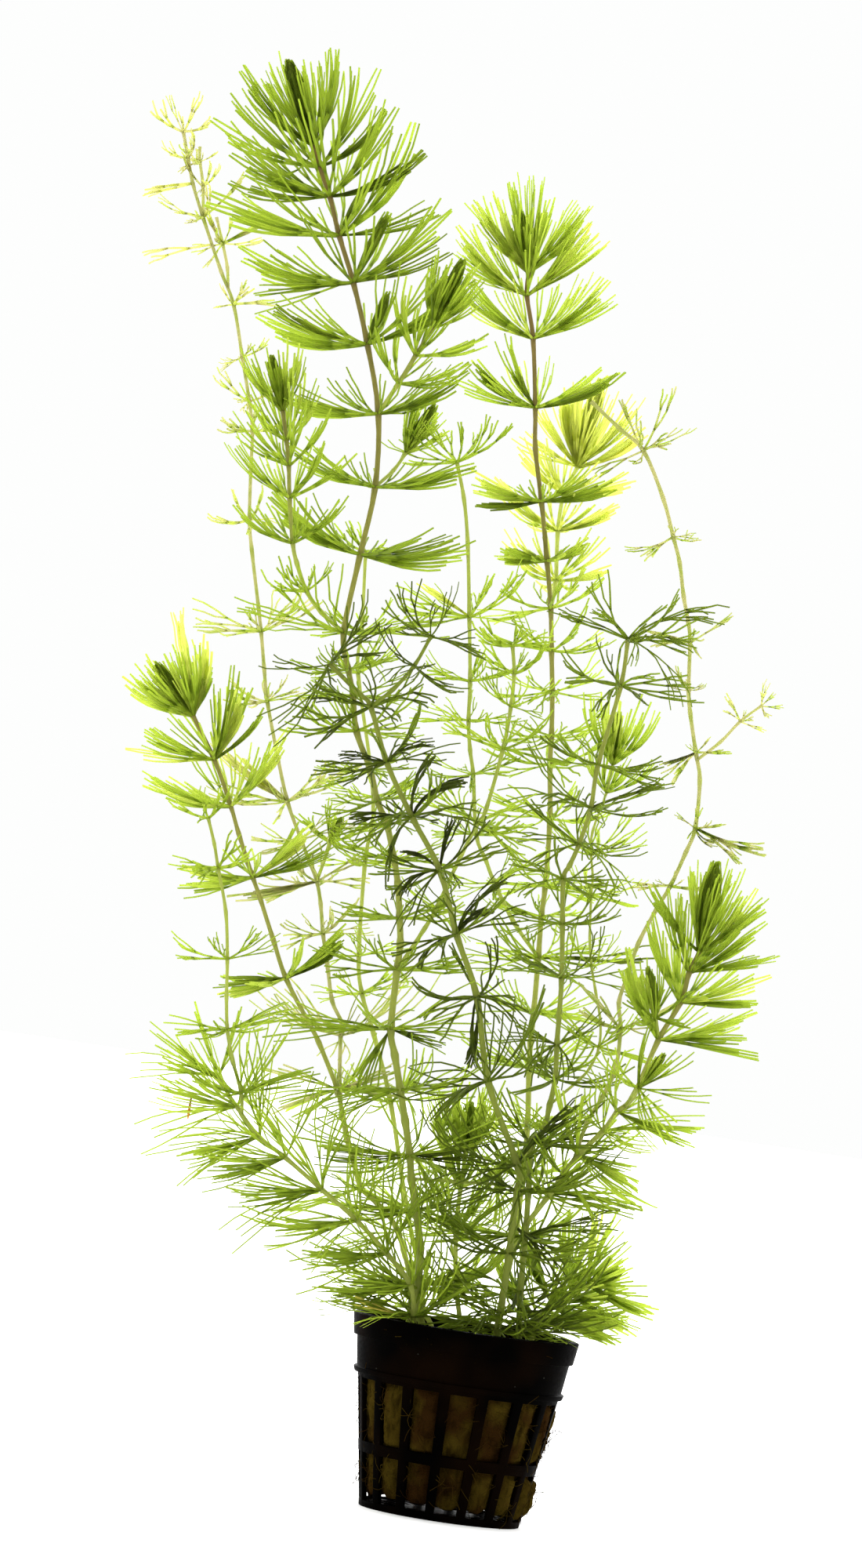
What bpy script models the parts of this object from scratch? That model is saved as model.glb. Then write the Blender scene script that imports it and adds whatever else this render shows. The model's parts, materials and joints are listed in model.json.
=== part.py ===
"""A potted hornwort: thin stems with whorls of needle leaves, held by rock wool in a net pot.

Metres, +Z up, -Y towards the viewer. The origin is the middle of the pot's foot.
"""

import math
import random
from collections import namedtuple

import bmesh
import bpy
import numpy as np
from mathutils import Quaternion, Vector

MM = 0.001

# Pieces that touch keep this gap, and a branch starts a little further from its stem
GAP = 0.3 * MM
BRANCH_GAP = 0.33 * MM

# Faces that meet at less than this are shaded as one
SMOOTH_ANGLE = math.radians(25)

# Net pot
WALL = 1.2 * MM
FLOOR = 1.2 * MM
FOOT_RADIUS = 19.5 * MM
CAGE_TOP = 32.0 * MM
CAGE_TOP_RADIUS = 24.5 * MM
LEDGE_TOP = 33.3 * MM
LEDGE_RADIUS = 25.6 * MM
COLLAR_RADIUS = 25.1 * MM
RIM_BOTTOM = 40.7 * MM
COLLAR_TOP_RADIUS = 26.0 * MM
RIM_BOTTOM_RADIUS = 26.9 * MM
RIM_TOP = 46.0 * MM
RIM_RADIUS = 27.5 * MM
RIB_COUNT = 16
RIB_ANGLE = math.radians(6.5)
RIB_PHASE = math.radians(-7.5)
WINDOW_ROWS = ((1.6 * MM, 13.0 * MM), (15.7 * MM, 30.7 * MM))
HUB_RADIUS = 7.0 * MM
SLOT_START = 10.0 * MM
SLOT_END = 16.5 * MM

# Rock wool
WOOL_BOTTOM = 3.0 * MM
WOOL_TOP = 42.0 * MM
WOOL_SIDES = 32
BORE_SIDES = 6
STEM_DEPTH = 12.0 * MM

# Stems and leaves
STEM_SIDES = 5
THIN_STEM_SIDES = 4
THIN_STEM = 1.05 * MM
NODE_HEIGHT = 1.0 * MM
FORKED_LEAF = 121
SHORT_LEAF = 74
FAN_PLACE = 0.55
FAN_WIDTH = 0.11
FAN_THICKNESS = 0.45 * MM
TIP_RADIUS = 0.1 * MM
LEAF_ROOT_RADIUS = 0.65 * MM
LEAF_LENGTHS = (0.9, 1.03)
LEAF_SWAY = 6
MOUTH_RADIUS = 22.0 * MM

# The bud's widest place, and its rings: how far up they are and their share of its radius
BUD_MIDDLE = 0.4
BUD_RINGS = ((0.35, 0.95), (0.7, 0.7))

# The stems were traced in the photograph, in which the pot leans to the right
PIXEL = 0.189 * MM
FOOT_ACROSS = 559.5
FOOT_DOWN = 1932.5
POT_LEAN = math.radians(8.5)

# A stem's route is a list of nodes: across and down in the photograph, and the leaves' length there.
# All three are pixels. depths are the route's own, in mm, and grow away from the viewer.
# girths are diameters in mm. lifts and curls are degrees: how far a leaf starts above the
# square to its stem, and how far it bends towards the tip, at the stem's foot and top.
Stem = namedtuple("Stem", "name parent root depths girths lifts curls nodes bud", defaults=(None,))

IN_WOOL = None

STEMS = (
    Stem("tall_stem", IN_WOOL, (-10.5, -3.5), (-4, -9, -5), (1.9, 1.1), (0, 45), (15, 42), (
        (536, 1676, 115), (534, 1642, 125), (536, 1590, 0), (531, 1543, 120), (525, 1502, 0), (523, 1472, 150),
        (517, 1428, 0), (511, 1389, 125), (504, 1345, 0), (499, 1312, 130), (507, 1236, 110), (511, 1203, 0),
        (510, 1171, 100), (508, 1129, 0), (503, 1096, 95), (494, 1052, 75), (482, 1022, 85), (473, 983, 85),
        (455, 933, 105), (451, 888, 85), (445, 855, 85), (439, 808, 150), (460, 709, 150), (479, 623, 130),
        (483, 530, 135), (469, 441, 160), (451, 362, 165), (433, 302, 175), (421, 252, 165), (408, 214, 160),
        (401, 187, 135),
    ), (366, 75, 3.4)),
    Stem("front_stem", IN_WOOL, (7.5, -10), (-10, -20, -22), (1.9, 1.1), (5, 0), (15, -10), (
        (634, 1690, 115), (638, 1670, 130), (649, 1595, 145), (653, 1559, 0), (659, 1515, 140), (659, 1482, 130),
        (622, 1377, 125), (608, 1270, 105), (582, 1191, 110), (561, 1110, 105), (526, 1043, 105), (494, 974, 100),
        (474, 904, 110), (460, 888, 0), (422, 850, 110),
    )),
    Stem("low_left_stem", IN_WOOL, (-12.5, -13), (-13, -20, -14), (1.4, 0.9), (30, 38), (8, 8), (
        (528, 1674, 110), (524, 1634, 120), (494, 1594, 125), (456, 1552, 130), (412, 1513, 125), (366, 1473, 120),
        (333, 1447, 115), (304, 1409, 115), (280, 1372, 100),
    )),
    Stem("left_plume", IN_WOOL, (-14, 5), (6, 9, 0), (1.4, 1.0), (0, 40), (15, 34), (
        (524, 1640, 100), (507, 1571, 110), (484, 1540, 0), (460, 1516, 115), (452, 1487, 0), (437, 1426, 0),
        (430, 1391, 90), (406, 1330, 0), (392, 1303, 0), (364, 1248, 105), (348, 1199, 0), (331, 1145, 0),
        (322, 1119, 108), (304, 1063, 0), (294, 1028, 125), (273, 968, 112), (246, 912, 110),
    ), (196, 843, 2.6)),
    Stem("right_stem", IN_WOOL, (8, 11), (10, 16, 8), (1.5, 1.0), (0, 40), (15, 32), (
        (637, 1688, 110), (642, 1655, 110), (658, 1580, 100), (668, 1500, 90), (674, 1438, 95), (676, 1364, 90),
        (678, 1331, 0), (682, 1293, 85), (688, 1222, 100), (692, 1169, 85), (697, 1130, 85), (703, 1044, 100),
        (703, 974, 100), (705, 937, 90), (706, 880, 90), (705, 828, 95), (704, 773, 100), (699, 712, 70),
        (692, 636, 100), (684, 569, 0), (684, 516, 115), (681, 428, 122), (673, 373, 125), (675, 344, 120),
    ), (665, 262, 3.2)),
    Stem("dark_stem", IN_WOOL, (13, -2), (-2, -8, -12), (1.5, 1.0), (5, 5), (18, 0), (
        (662, 1692, 110), (664, 1645, 110), (670, 1575, 100), (674, 1520, 90), (678, 1457, 100), (693, 1440, 0),
        (701, 1408, 0), (708, 1375, 100), (710, 1331, 80), (713, 1293, 0), (716, 1247, 135), (717, 1178, 90),
        (718, 1121, 90), (726, 1104, 0), (738, 1077, 95), (753, 1031, 120), (762, 976, 90), (791, 876, 100),
        (800, 817, 125),
    )),
    Stem("back_stem", IN_WOOL, (-8, 13), (13, 18, 13), (1.3, 0.8), (5, 10), (20, 30), (
        (540, 1675, 100), (538, 1640, 100), (518, 1540, 100), (498, 1408, 95), (476, 1320, 0), (461, 1268, 75),
        (457, 1220, 75), (465, 1100, 80), (476, 1015, 75), (456, 856, 70), (461, 803, 70), (466, 700, 60),
    )),
    Stem("young_shoot", IN_WOOL, (-1, 6), (7, 8, 9), (1.4, 1.0), (10, 45), (30, 40), (
        (582, 1640, 100), (582, 1575, 105), (588, 1515, 100), (595, 1470, 95),
    ), (603, 1405, 1.8)),
    Stem("low_right_plume", IN_WOOL, (16, 7), (8, 10, 10), (1.5, 1.1), (15, 30), (20, 20), (
        (688, 1685, 115), (706, 1665, 115), (730, 1650, 115), (752, 1640, 105),
    ), (800, 1622, 2.4)),
    Stem("left_branch", "tall_stem", (439, 808), (-18, -14), (1.1, 1.0), (15, 48), (40, 32), (
        (411, 783, 0), (392, 756, 60), (380, 721, 0), (375, 696, 100), (371, 639, 110), (370, 598, 100),
        (367, 566, 95), (362, 528, 95),
    ), (346, 455, 3.0)),
    Stem("right_branch", "tall_stem", (483, 530), (-13, -13), (1.1, 1.0), (20, 46), (40, 32), (
        (509, 492, 95), (531, 457, 105), (553, 422, 95),
    ), (592, 332, 2.8)),
    Stem("small_branch", "tall_stem", (479, 623), (-1, 2), (0.9, 0.8), (10, 45), (40, 40), (
        (502, 600, 0), (518, 577, 65),
    ), (556, 512, 2.2)),
    Stem("front_branch", "front_stem", (474, 904), (-29, -27), (1.0, 0.8), (0, 10), (20, 10), (
        (502, 883, 0), (529, 853, 75), (550, 816, 85),
    )),
    Stem("yellow_branch", "right_stem", (704, 773), (24, 26), (1.1, 0.9), (12, 42), (36, 28), (
        (711, 736, 95), (714, 671, 95), (722, 623, 95), (740, 588, 105),
    ), (770, 472, 3.2)),
    Stem("slim_right_stem", "dark_stem", (701, 1408), (4, 8), (0.7, 0.6), (5, 35), (25, 45), (
        (738, 1377, 0), (753, 1360, 0), (764, 1335, 75), (766, 1303, 0), (760, 1264, 0), (755, 1232, 75),
        (753, 1197, 0), (755, 1141, 75), (757, 1119, 0), (755, 1090, 90), (757, 1060, 0), (775, 1010, 75),
        (783, 974, 105),
    ), (790, 905, 2.4)),
    Stem("right_plume", "dark_stem", (672, 1555), (-15, -16), (1.4, 1.2), (15, 55), (18, 28), (
        (699, 1524, 85), (718, 1496, 90), (737, 1471, 110), (768, 1440, 70), (786, 1416, 75), (806, 1396, 0),
        (838, 1324, 125), (866, 1277, 118), (877, 1239, 118), (890, 1214, 112),
    ), (912, 1095, 4.2)),
    Stem("lower_side_shoot", "right_plume", (796, 1405), (-20, -22), (0.9, 0.8), (15, 40), (30, 40), (
        (812, 1385, 80),
    ), (846, 1340, 2.2)),
    Stem("upper_side_shoot", "right_plume", (836, 1330), (-20, -20), (0.9, 0.8), (15, 40), (30, 40), (
        (834, 1296, 55),
    ), (824, 1230, 2.2)),
    Stem("far_right_stem", "right_plume", (733, 1476), (0, 6), (1.0, 0.9), (5, 10), (20, 10), (
        (747, 1433, 0), (770, 1394, 0), (785, 1360, 0), (791, 1311, 85), (789, 1278, 0), (799, 1247, 0),
        (814, 1203, 0), (837, 1160, 0), (855, 1130, 60), (875, 1087, 0), (887, 1056, 50), (893, 995, 0),
        (888, 960, 60), (881, 909, 0), (879, 880, 50), (881, 819, 70), (879, 794, 0), (873, 760, 0),
        (868, 717, 0), (860, 684, 70), (847, 634, 0), (822, 573, 95), (793, 546, 0), (755, 510, 0),
    )),
    Stem("far_right_twig", "far_right_stem", (889, 965), (2, 0), (0.8, 0.6), (10, 20), (10, 10), (
        (920, 946, 0), (945, 920, 40), (972, 900, 50),
    )),
    Stem("far_left_stem", "left_plume", (452, 1487), (20, 10), (1.0, 0.8), (5, 20), (20, 30), (
        (441, 1453, 0), (433, 1391, 90), (434, 1322, 120), (434, 1303, 0), (423, 1278, 0), (417, 1233, 0),
        (411, 1191, 75), (408, 1153, 0), (403, 1124, 95), (394, 1100, 0), (383, 1071, 80), (365, 1021, 115),
        (351, 956, 0), (339, 892, 70), (335, 850, 0), (331, 802, 100), (328, 774, 0), (319, 697, 0),
        (316, 658, 65), (318, 590, 0), (320, 544, 55), (316, 506, 55), (307, 449, 50), (296, 382, 60),
        (280, 340, 0), (257, 271, 85), (244, 228, 0), (238, 195, 50), (232, 162, 62),
    )),
    Stem("far_left_twig", "far_left_stem", (257, 268), (13, 13), (0.8, 0.7), (10, 20), (20, 30), (
        (257, 231, 45), (253, 199, 50), (253, 180, 0),
    )),
    Stem("far_left_lower_twig", "far_left_stem", (290, 365), (15, 15), (0.8, 0.7), (10, 20), (20, 30), (
        (288, 335, 0), (282, 304, 65), (274, 270, 0),
    )),
    Stem("left_side_shoot", "far_left_stem", (403, 1124), (20, 22), (0.9, 0.8), (15, 40), (30, 40), (
        (421, 1073, 65),
    ), (436, 1040, 1.8)),
    Stem("low_left_branch", "low_left_stem", (309, 1418), (-22, -16), (0.9, 0.8), (5, 10), (20, 30), (
        (310, 1391, 90), (299, 1347, 0), (293, 1311, 85), (292, 1268, 0), (293, 1222, 80), (291, 1163, 0),
        (281, 1107, 65), (276, 1077, 0), (268, 1044, 55),
    )),
    Stem("centre_stem", "right_stem", (689, 1215), (6, 4), (1.0, 0.9), (0, 15), (20, 40), (
        (656, 1176, 0), (631, 1125, 75), (620, 1096, 0), (608, 1064, 75), (604, 987, 75), (600, 956, 0),
        (598, 918, 75), (600, 868, 75), (599, 786, 115), (597, 692, 0), (592, 634, 0), (583, 588, 100),
    )),
    Stem("cross_stem", "tall_stem", (507, 1236), (-2, -2), (1.0, 0.9), (5, 10), (20, 30), (
        (542, 1184, 0), (557, 1158, 75), (587, 1094, 0), (610, 1050, 100), (620, 1033, 0), (642, 955, 100),
        (652, 901, 80), (656, 859, 60), (654, 824, 65),
    )),
    Stem("cross_twig", "tall_stem", (525, 1502), (-4, -1), (0.8, 0.7), (10, 10), (10, 10), (
        (580, 1506, 0), (633, 1510, 65),
    )),
)

# How late along a stem its leaves change from the foot's lift and curl to the top's
LIFT_EASING = 3
LIFT_EASING_PER_NODE = 0.3
CURL_EASING = 2

# A leaf that meets another is turned, tilted or shortened, in this order, until it is clear
TURNS = (0, 8, -8, 16, -16, 24, -24)
TILTS = (0, 12, -12, 24, -24)
SHARES = (1.0, 0.85, 0.7, 0.55)

LEAF_COLOUR = (0.20, 0.33, 0.05)
PALE_COLOUR = (0.45, 0.58, 0.12)
DARK_COLOUR = (0.08, 0.15, 0.03)
PALE_STEMS = ("yellow_branch", "far_left_stem", "far_left_twig", "far_left_lower_twig", "far_right_stem",
              "far_right_twig", "low_right_plume", "slim_right_stem", "back_stem", "young_shoot")
DARK_STEMS = ("front_stem", "front_branch", "dark_stem")


def remove_everything():
    for obj in list(bpy.data.objects):
        bpy.data.objects.remove(obj, do_unlink=True)


def material(name, colour, roughness):
    """A plain Principled material."""
    made = bpy.data.materials.new(name)
    made.use_nodes = True
    shader = made.node_tree.nodes["Principled BSDF"]
    shader.inputs["Base Color"].default_value = (*colour, 1.0)
    shader.inputs["Roughness"].default_value = roughness
    shader.inputs["Metallic"].default_value = 0.0
    made.diffuse_color = (*colour, 1.0)
    return made


def add_object(name, bm, finish, smooth_angle=None):
    """Closes the bmesh into a named object whose faces point outwards."""
    bmesh.ops.recalc_face_normals(bm, faces=bm.faces)
    bmesh.ops.triangulate(bm, faces=bm.faces)
    mesh = bpy.data.meshes.new(name)
    bm.to_mesh(mesh)
    bm.free()
    mesh.materials.append(finish)
    obj = bpy.data.objects.new(name, mesh)
    bpy.context.scene.collection.objects.link(obj)
    if smooth_angle is not None:
        mesh.shade_smooth()
        mesh.set_sharp_from_angle(angle=smooth_angle)
    return obj


def between(low, high, share):
    return low + (high - low) * share


def pot_radius(height):
    """Outer radius of the pot's tapered cage at a height."""
    return between(FOOT_RADIUS, CAGE_TOP_RADIUS, height / CAGE_TOP)


def inner_radius(height):
    """Inner radius of the pot, which opens a little wider above the cage."""
    if height <= CAGE_TOP:
        return pot_radius(height) - WALL
    share = (height - CAGE_TOP) / (RIM_TOP - CAGE_TOP)
    return between(pot_radius(CAGE_TOP) - WALL, RIM_RADIUS - WALL, share)


def rib_edges():
    """Angles of both edges of every rib, in order round the pot."""
    edges = []
    for index in range(RIB_COUNT):
        middle = RIB_PHASE + index * math.tau / RIB_COUNT - math.pi / 2
        edges += [middle - RIB_ANGLE / 2, middle + RIB_ANGLE / 2]
    return edges


def pot_ring(bm, radius, height):
    """One ring of the pot's points, at the edges of its ribs."""
    return [bm.verts.new((radius * math.cos(a), radius * math.sin(a), height)) for a in rib_edges()]


def join_rings(bm, low, high, open_between_ribs=False):
    """Faces between two rings. The odd columns are the windows between two ribs."""
    count = len(low)
    for index in range(count):
        if open_between_ribs and index % 2:
            continue
        after = (index + 1) % count
        bm.faces.new((low[index], low[after], high[after], high[index]))


def join_window(bm, column, outer_low, outer_high, inner_low, inner_high):
    """The four cut sides of a window or slot between the pot's two skins."""
    after = (column + 1) % len(outer_low)
    corners = (
        (outer_low[column], inner_low[column]),
        (outer_low[after], inner_low[after]),
        (outer_high[after], inner_high[after]),
        (outer_high[column], inner_high[column]),
    )
    for index in range(4):
        first, second = corners[index], corners[(index + 1) % 4]
        bm.faces.new((first[0], second[0], second[1], first[1]))


def make_net_pot():
    bm = bmesh.new()
    window_heights = [height for row in WINDOW_ROWS for height in row]
    outer_profile = [(FOOT_RADIUS, 0.0)]
    outer_profile += [(pot_radius(height), height) for height in window_heights]
    outer_profile += [
        (pot_radius(CAGE_TOP), CAGE_TOP),
        (LEDGE_RADIUS, CAGE_TOP),
        (LEDGE_RADIUS, LEDGE_TOP),
        (COLLAR_RADIUS, LEDGE_TOP),
        (COLLAR_TOP_RADIUS, RIM_BOTTOM),
        (RIM_BOTTOM_RADIUS, RIM_BOTTOM),
        (RIM_RADIUS, RIM_TOP),
    ]
    outer = [pot_ring(bm, radius, height) for radius, height in outer_profile]
    inner_heights = [FLOOR] + window_heights + [CAGE_TOP, RIM_TOP]
    inner = [pot_ring(bm, inner_radius(height), height) for height in inner_heights]

    # In both skins the windows lie between rings 1 and 2 and rings 3 and 4
    window_starts = (1, 3)
    for skin in (outer, inner):
        for index in range(len(skin) - 1):
            join_rings(bm, skin[index], skin[index + 1], open_between_ribs=index in window_starts)
    join_rings(bm, outer[-1], inner[-1])
    for start in window_starts:
        for column in range(1, 2 * RIB_COUNT, 2):
            join_window(bm, column, outer[start], outer[start + 1], inner[start], inner[start + 1])

    # The floor is a disc with a slot below each window
    discs = []
    for height, edge in ((0.0, outer[0]), (FLOOR, inner[0])):
        rings = [pot_ring(bm, radius, height) for radius in (HUB_RADIUS, SLOT_START, SLOT_END)]
        bm.faces.new(rings[0])
        join_rings(bm, rings[0], rings[1])
        join_rings(bm, rings[1], rings[2], open_between_ribs=True)
        join_rings(bm, rings[2], edge)
        discs.append(rings)
    for column in range(1, 2 * RIB_COUNT, 2):
        join_window(bm, column, discs[0][1], discs[0][2], discs[1][1], discs[1][2])
    finish = material("black_plastic", (0.012, 0.009, 0.007), 0.45)
    return add_object("net_pot", bm, finish, smooth_angle=SMOOTH_ANGLE)


def make_rock_wool(roots):
    """A tapered plug in the pot, with a bore for each stem that stands in it."""
    bm = bmesh.new()
    rings = []
    widest_flat = math.tau / RIB_COUNT - RIB_ANGLE
    for height in (WOOL_BOTTOM, CAGE_TOP, WOOL_TOP):
        radius = inner_radius(height) * math.cos(widest_flat / 2) - GAP
        angles = [index * math.tau / WOOL_SIDES for index in range(WOOL_SIDES)]
        rings.append([bm.verts.new((radius * math.cos(a), radius * math.sin(a), height)) for a in angles])
    join_rings(bm, rings[0], rings[1])
    join_rings(bm, rings[1], rings[2])
    bm.faces.new(rings[0])
    bm.faces.new(rings[2])
    finish = material("rock_wool", (0.075, 0.055, 0.020), 0.95)
    wool = add_object("rock_wool", bm, finish, smooth_angle=SMOOTH_ANGLE)

    bm = bmesh.new()
    for (across, depth), stem_radius in roots:
        radius = (stem_radius + GAP) / math.cos(math.pi / BORE_SIDES)
        ends = []
        for height in (WOOL_TOP - STEM_DEPTH - GAP, WOOL_TOP + WALL):
            angles = [index * math.tau / BORE_SIDES for index in range(BORE_SIDES)]
            ends.append([bm.verts.new((across + radius * math.cos(a), depth + radius * math.sin(a), height))
                         for a in angles])
        join_rings(bm, *ends)
        bm.faces.new(ends[0])
        bm.faces.new(ends[1])
    bores = add_object("stem_bores", bm, finish)
    bores.hide_render = True
    bores.display_type = "WIRE"
    cut = wool.modifiers.new("stem bores", "BOOLEAN")
    cut.operation = "DIFFERENCE"
    cut.object = bores
    return wool


def place(across, down, depth):
    """A point of the plant, from its place in the photograph and its depth in metres."""
    aside = (across - FOOT_ACROSS) * PIXEL
    up = (FOOT_DOWN - down) * PIXEL
    x = aside * math.cos(POT_LEAN) - up * math.sin(POT_LEAN)
    z = aside * math.sin(POT_LEAN) + up * math.cos(POT_LEAN)
    return Vector((x, depth, z))


def depth_curve(first, middle, last, share):
    """A smooth curve through three depths, at the start, the middle and the end of a route."""
    early = first * (1 - share) * (1 - 2 * share)
    half = middle * 4 * share * (1 - share)
    late = last * share * (2 * share - 1)
    return early + half + late


class Skeleton:
    """The route of a stem with its girth, and the axes of each of its rings."""

    def __init__(self, stem, skeletons):
        self.stem = stem
        self.thick = stem.girths[0] / 2 * MM
        self.thin = stem.girths[1] / 2 * MM
        self.sides = THIN_STEM_SIDES if stem.girths[0] * MM < THIN_STEM else STEM_SIDES
        if stem.parent is IN_WOOL:
            depths = [value * MM for value in stem.depths]
        else:
            parent = skeletons[stem.parent]
            fork, along, girth = parent.nearest(place(*stem.root, 0.0))
            depths = [fork.y] + [value * MM for value in stem.depths]
        lengths = self.route_shares()
        nodes = [place(across, down, depth_curve(*depths, share))
                 for (across, down, _), share in zip(stem.nodes, lengths)]
        if stem.parent is IN_WOOL:
            foot = Vector((stem.root[0] * MM, stem.root[1] * MM, WOOL_TOP))
            start = [foot - Vector((0, 0, STEM_DEPTH)), foot + Vector((0, 0, NODE_HEIGHT))]
        else:
            away = nodes[0] - fork
            away = (away - along * away.dot(along)).normalized()
            start = [fork + away * (girth + BRANCH_GAP)]
        self.first_node = len(start)
        self.points = start + nodes
        self.set_axes()
        if stem.parent is not IN_WOOL:
            self.alongs[0] = away
            self.outs[0] = away.orthogonal().normalized()
            self.carry_axes(1)

    def route_shares(self):
        """How far along the route each node is, from 0 to 1, in the photograph's plane."""
        flat = [place(across, down, 0.0) for across, down, _ in self.stem.nodes]
        reach = [0.0]
        for before, after in zip(flat, flat[1:]):
            reach.append(reach[-1] + (after - before).length)
        start = (flat[1] - flat[0]).length if len(flat) > 1 else reach[-1] + MM
        return [(value + start) / (reach[-1] + start) for value in reach]

    def set_axes(self):
        count = len(self.points)
        self.alongs = []
        for index in range(count):
            before = self.points[max(index - 1, 0)]
            after = self.points[min(index + 1, count - 1)]
            self.alongs.append((after - before).normalized())
        self.alongs[0] = (self.points[1] - self.points[0]).normalized() if count > 1 else Vector((0, 0, 1))
        self.outs = [self.alongs[0].orthogonal().normalized()] * count
        self.carry_axes(1)

    def carry_axes(self, start):
        """Carries the outward axis along the route without a twist."""
        for index in range(start, len(self.points)):
            turn = self.alongs[index - 1].rotation_difference(self.alongs[index])
            carried = turn @ self.outs[index - 1]
            along = self.alongs[index]
            self.outs[index] = (carried - along * carried.dot(along)).normalized()

    def radius(self, index):
        return between(self.thick, self.thin, index / max(len(self.points) - 1, 1))

    def direction(self, index, angle):
        """The direction away from the stem at an angle round it."""
        along = self.alongs[index]
        return Quaternion(along, angle) @ self.outs[index]

    def nearest(self, target):
        """The point of the route nearest to a place in the photograph, its direction and its girth."""
        best = None
        for index, (before, after) in enumerate(zip(self.points, self.points[1:])):
            flat = Vector((after.x - before.x, 0, after.z - before.z))
            offset = Vector((target.x - before.x, 0, target.z - before.z))
            share = min(max(offset.dot(flat) / max(flat.length_squared, 1e-12), 0.0), 1.0)
            point = before.lerp(after, share)
            distance = math.hypot(point.x - target.x, point.z - target.z)
            if best is None or distance < best[0]:
                best = (distance, point, (after - before).normalized(), self.radius(index))
        return best[1:]

    def node_turn(self, index):
        """Every second node's leaves stand between those of the node below."""
        return (index % 2) * math.pi / self.sides

    def bud_points(self):
        """The middle and the tip of the closed bud, and its radius."""
        across, down, width = self.stem.bud
        last = self.points[-1]
        tip = place(across, down, last.y)
        return last.lerp(tip, BUD_MIDDLE), tip, width / 2 * MM


class Crowd:
    """All stems and leaves placed so far, as round tapered rods, to keep new leaves clear of them."""

    def __init__(self):
        self.starts, self.ends, self.start_radii, self.end_radii, self.owners = [], [], [], [], []

    def add(self, start, end, start_radius, end_radius, owner):
        self.starts.append(tuple(start))
        self.ends.append(tuple(end))
        self.start_radii.append(start_radius)
        self.end_radii.append(end_radius)
        self.owners.append(owner)

    def is_clear(self, start, end, start_radius, end_radius, skipped):
        """Whether a rod keeps the gap to every other rod but the skipped owners."""
        keep = [index for index, owner in enumerate(self.owners) if owner not in skipped]
        p, q = np.array(self.starts)[keep], np.array(self.ends)[keep]
        gaps, near, far = rod_distances(np.array(start), np.array(end), p, q)
        own = between(start_radius, end_radius, near)
        other = between(np.array(self.start_radii)[keep], np.array(self.end_radii)[keep], far)
        return bool(np.all(gaps - own - other > GAP))


def rod_distances(start, end, starts, ends):
    """Least distances between one segment and many, and where along each they are."""
    own = end - start
    others = ends - starts
    offset = start - starts
    a = own @ own
    e = np.einsum("ij,ij->i", others, others)
    f = np.einsum("ij,ij->i", others, offset)
    b = others @ own
    c = offset @ own
    slope = a * e - b * b
    near = np.clip(np.where(slope > 1e-18, (b * f - c * e) / np.maximum(slope, 1e-18), 0.0), 0, 1)
    far = np.clip((b * near + f) / np.maximum(e, 1e-18), 0, 1)
    near = np.clip((b * far - c) / max(a, 1e-18), 0, 1)
    gap = (start + near[:, None] * own) - (starts + far[:, None] * others)
    return np.linalg.norm(gap, axis=1), near, far


def leaf_point(root, out, along, length, lift, curl, share):
    """A point of a leaf that leaves at the lift angle and bends evenly by the curl angle."""
    if abs(curl) < 1e-4:
        return root + (out * math.cos(lift) + along * math.sin(lift)) * length * share
    turned = lift + curl * share
    aside = (math.sin(turned) - math.sin(lift)) / curl
    up = (math.cos(lift) - math.cos(turned)) / curl
    return root + (out * aside + along * up) * length


def is_over_pot(point):
    """Whether a point of a leaf stays clear of the pot and the wool."""
    reach = math.hypot(point.x, point.y)
    if reach < MOUTH_RADIUS:
        return point.z > WOOL_TOP + NODE_HEIGHT
    return point.z > RIM_TOP + NODE_HEIGHT


def grow_leaf(skeleton, index, face, length, lift, curl, crowd):
    """Finds the leaf's middle and tip, clear of everything grown so far, or gives None."""
    owner = (skeleton.stem.name, index)
    beside = {(skeleton.stem.name, "stem", index - 1), (skeleton.stem.name, "stem", index)}
    own_bud = {(skeleton.stem.name, "bud")} if index == len(skeleton.points) - 1 else set()
    fan = FAN_WIDTH * length / 2
    middle_angle = skeleton.node_turn(index) + (face + 0.5) * math.tau / skeleton.sides
    along = skeleton.alongs[index]
    for share in SHARES:
        for tilt in TILTS:
            for turn in TURNS:
                out = skeleton.direction(index, middle_angle + math.radians(turn))
                shape = (out, along, length * share, lift + math.radians(tilt), curl)
                middle = leaf_point(skeleton.points[index], *shape, FAN_PLACE)
                tip = leaf_point(skeleton.points[index], *shape, 1.0)
                if not (is_over_pot(middle) and is_over_pot(tip)):
                    continue
                root = skeleton.points[index] + out * skeleton.radius(index)
                first = crowd.is_clear(root, middle, LEAF_ROOT_RADIUS, fan, beside | own_bud | {owner})
                if first and crowd.is_clear(middle, tip, fan, TIP_RADIUS, {owner}):
                    crowd.add(root, middle, LEAF_ROOT_RADIUS, fan, owner)
                    crowd.add(middle, tip, fan, TIP_RADIUS, owner)
                    return middle, tip
    return None


def leaf_bend(stem, order):
    """The lift and the curl of the leaves at a node. The lift changes mostly near the stem's top."""
    share = order / max(len(stem.nodes) - 1, 1)
    late_share = share ** max(LIFT_EASING, LIFT_EASING_PER_NODE * len(stem.nodes))
    lift = between(*stem.lifts, late_share)
    curl = between(*stem.curls, share ** CURL_EASING)
    return math.radians(lift), math.radians(curl)


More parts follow.
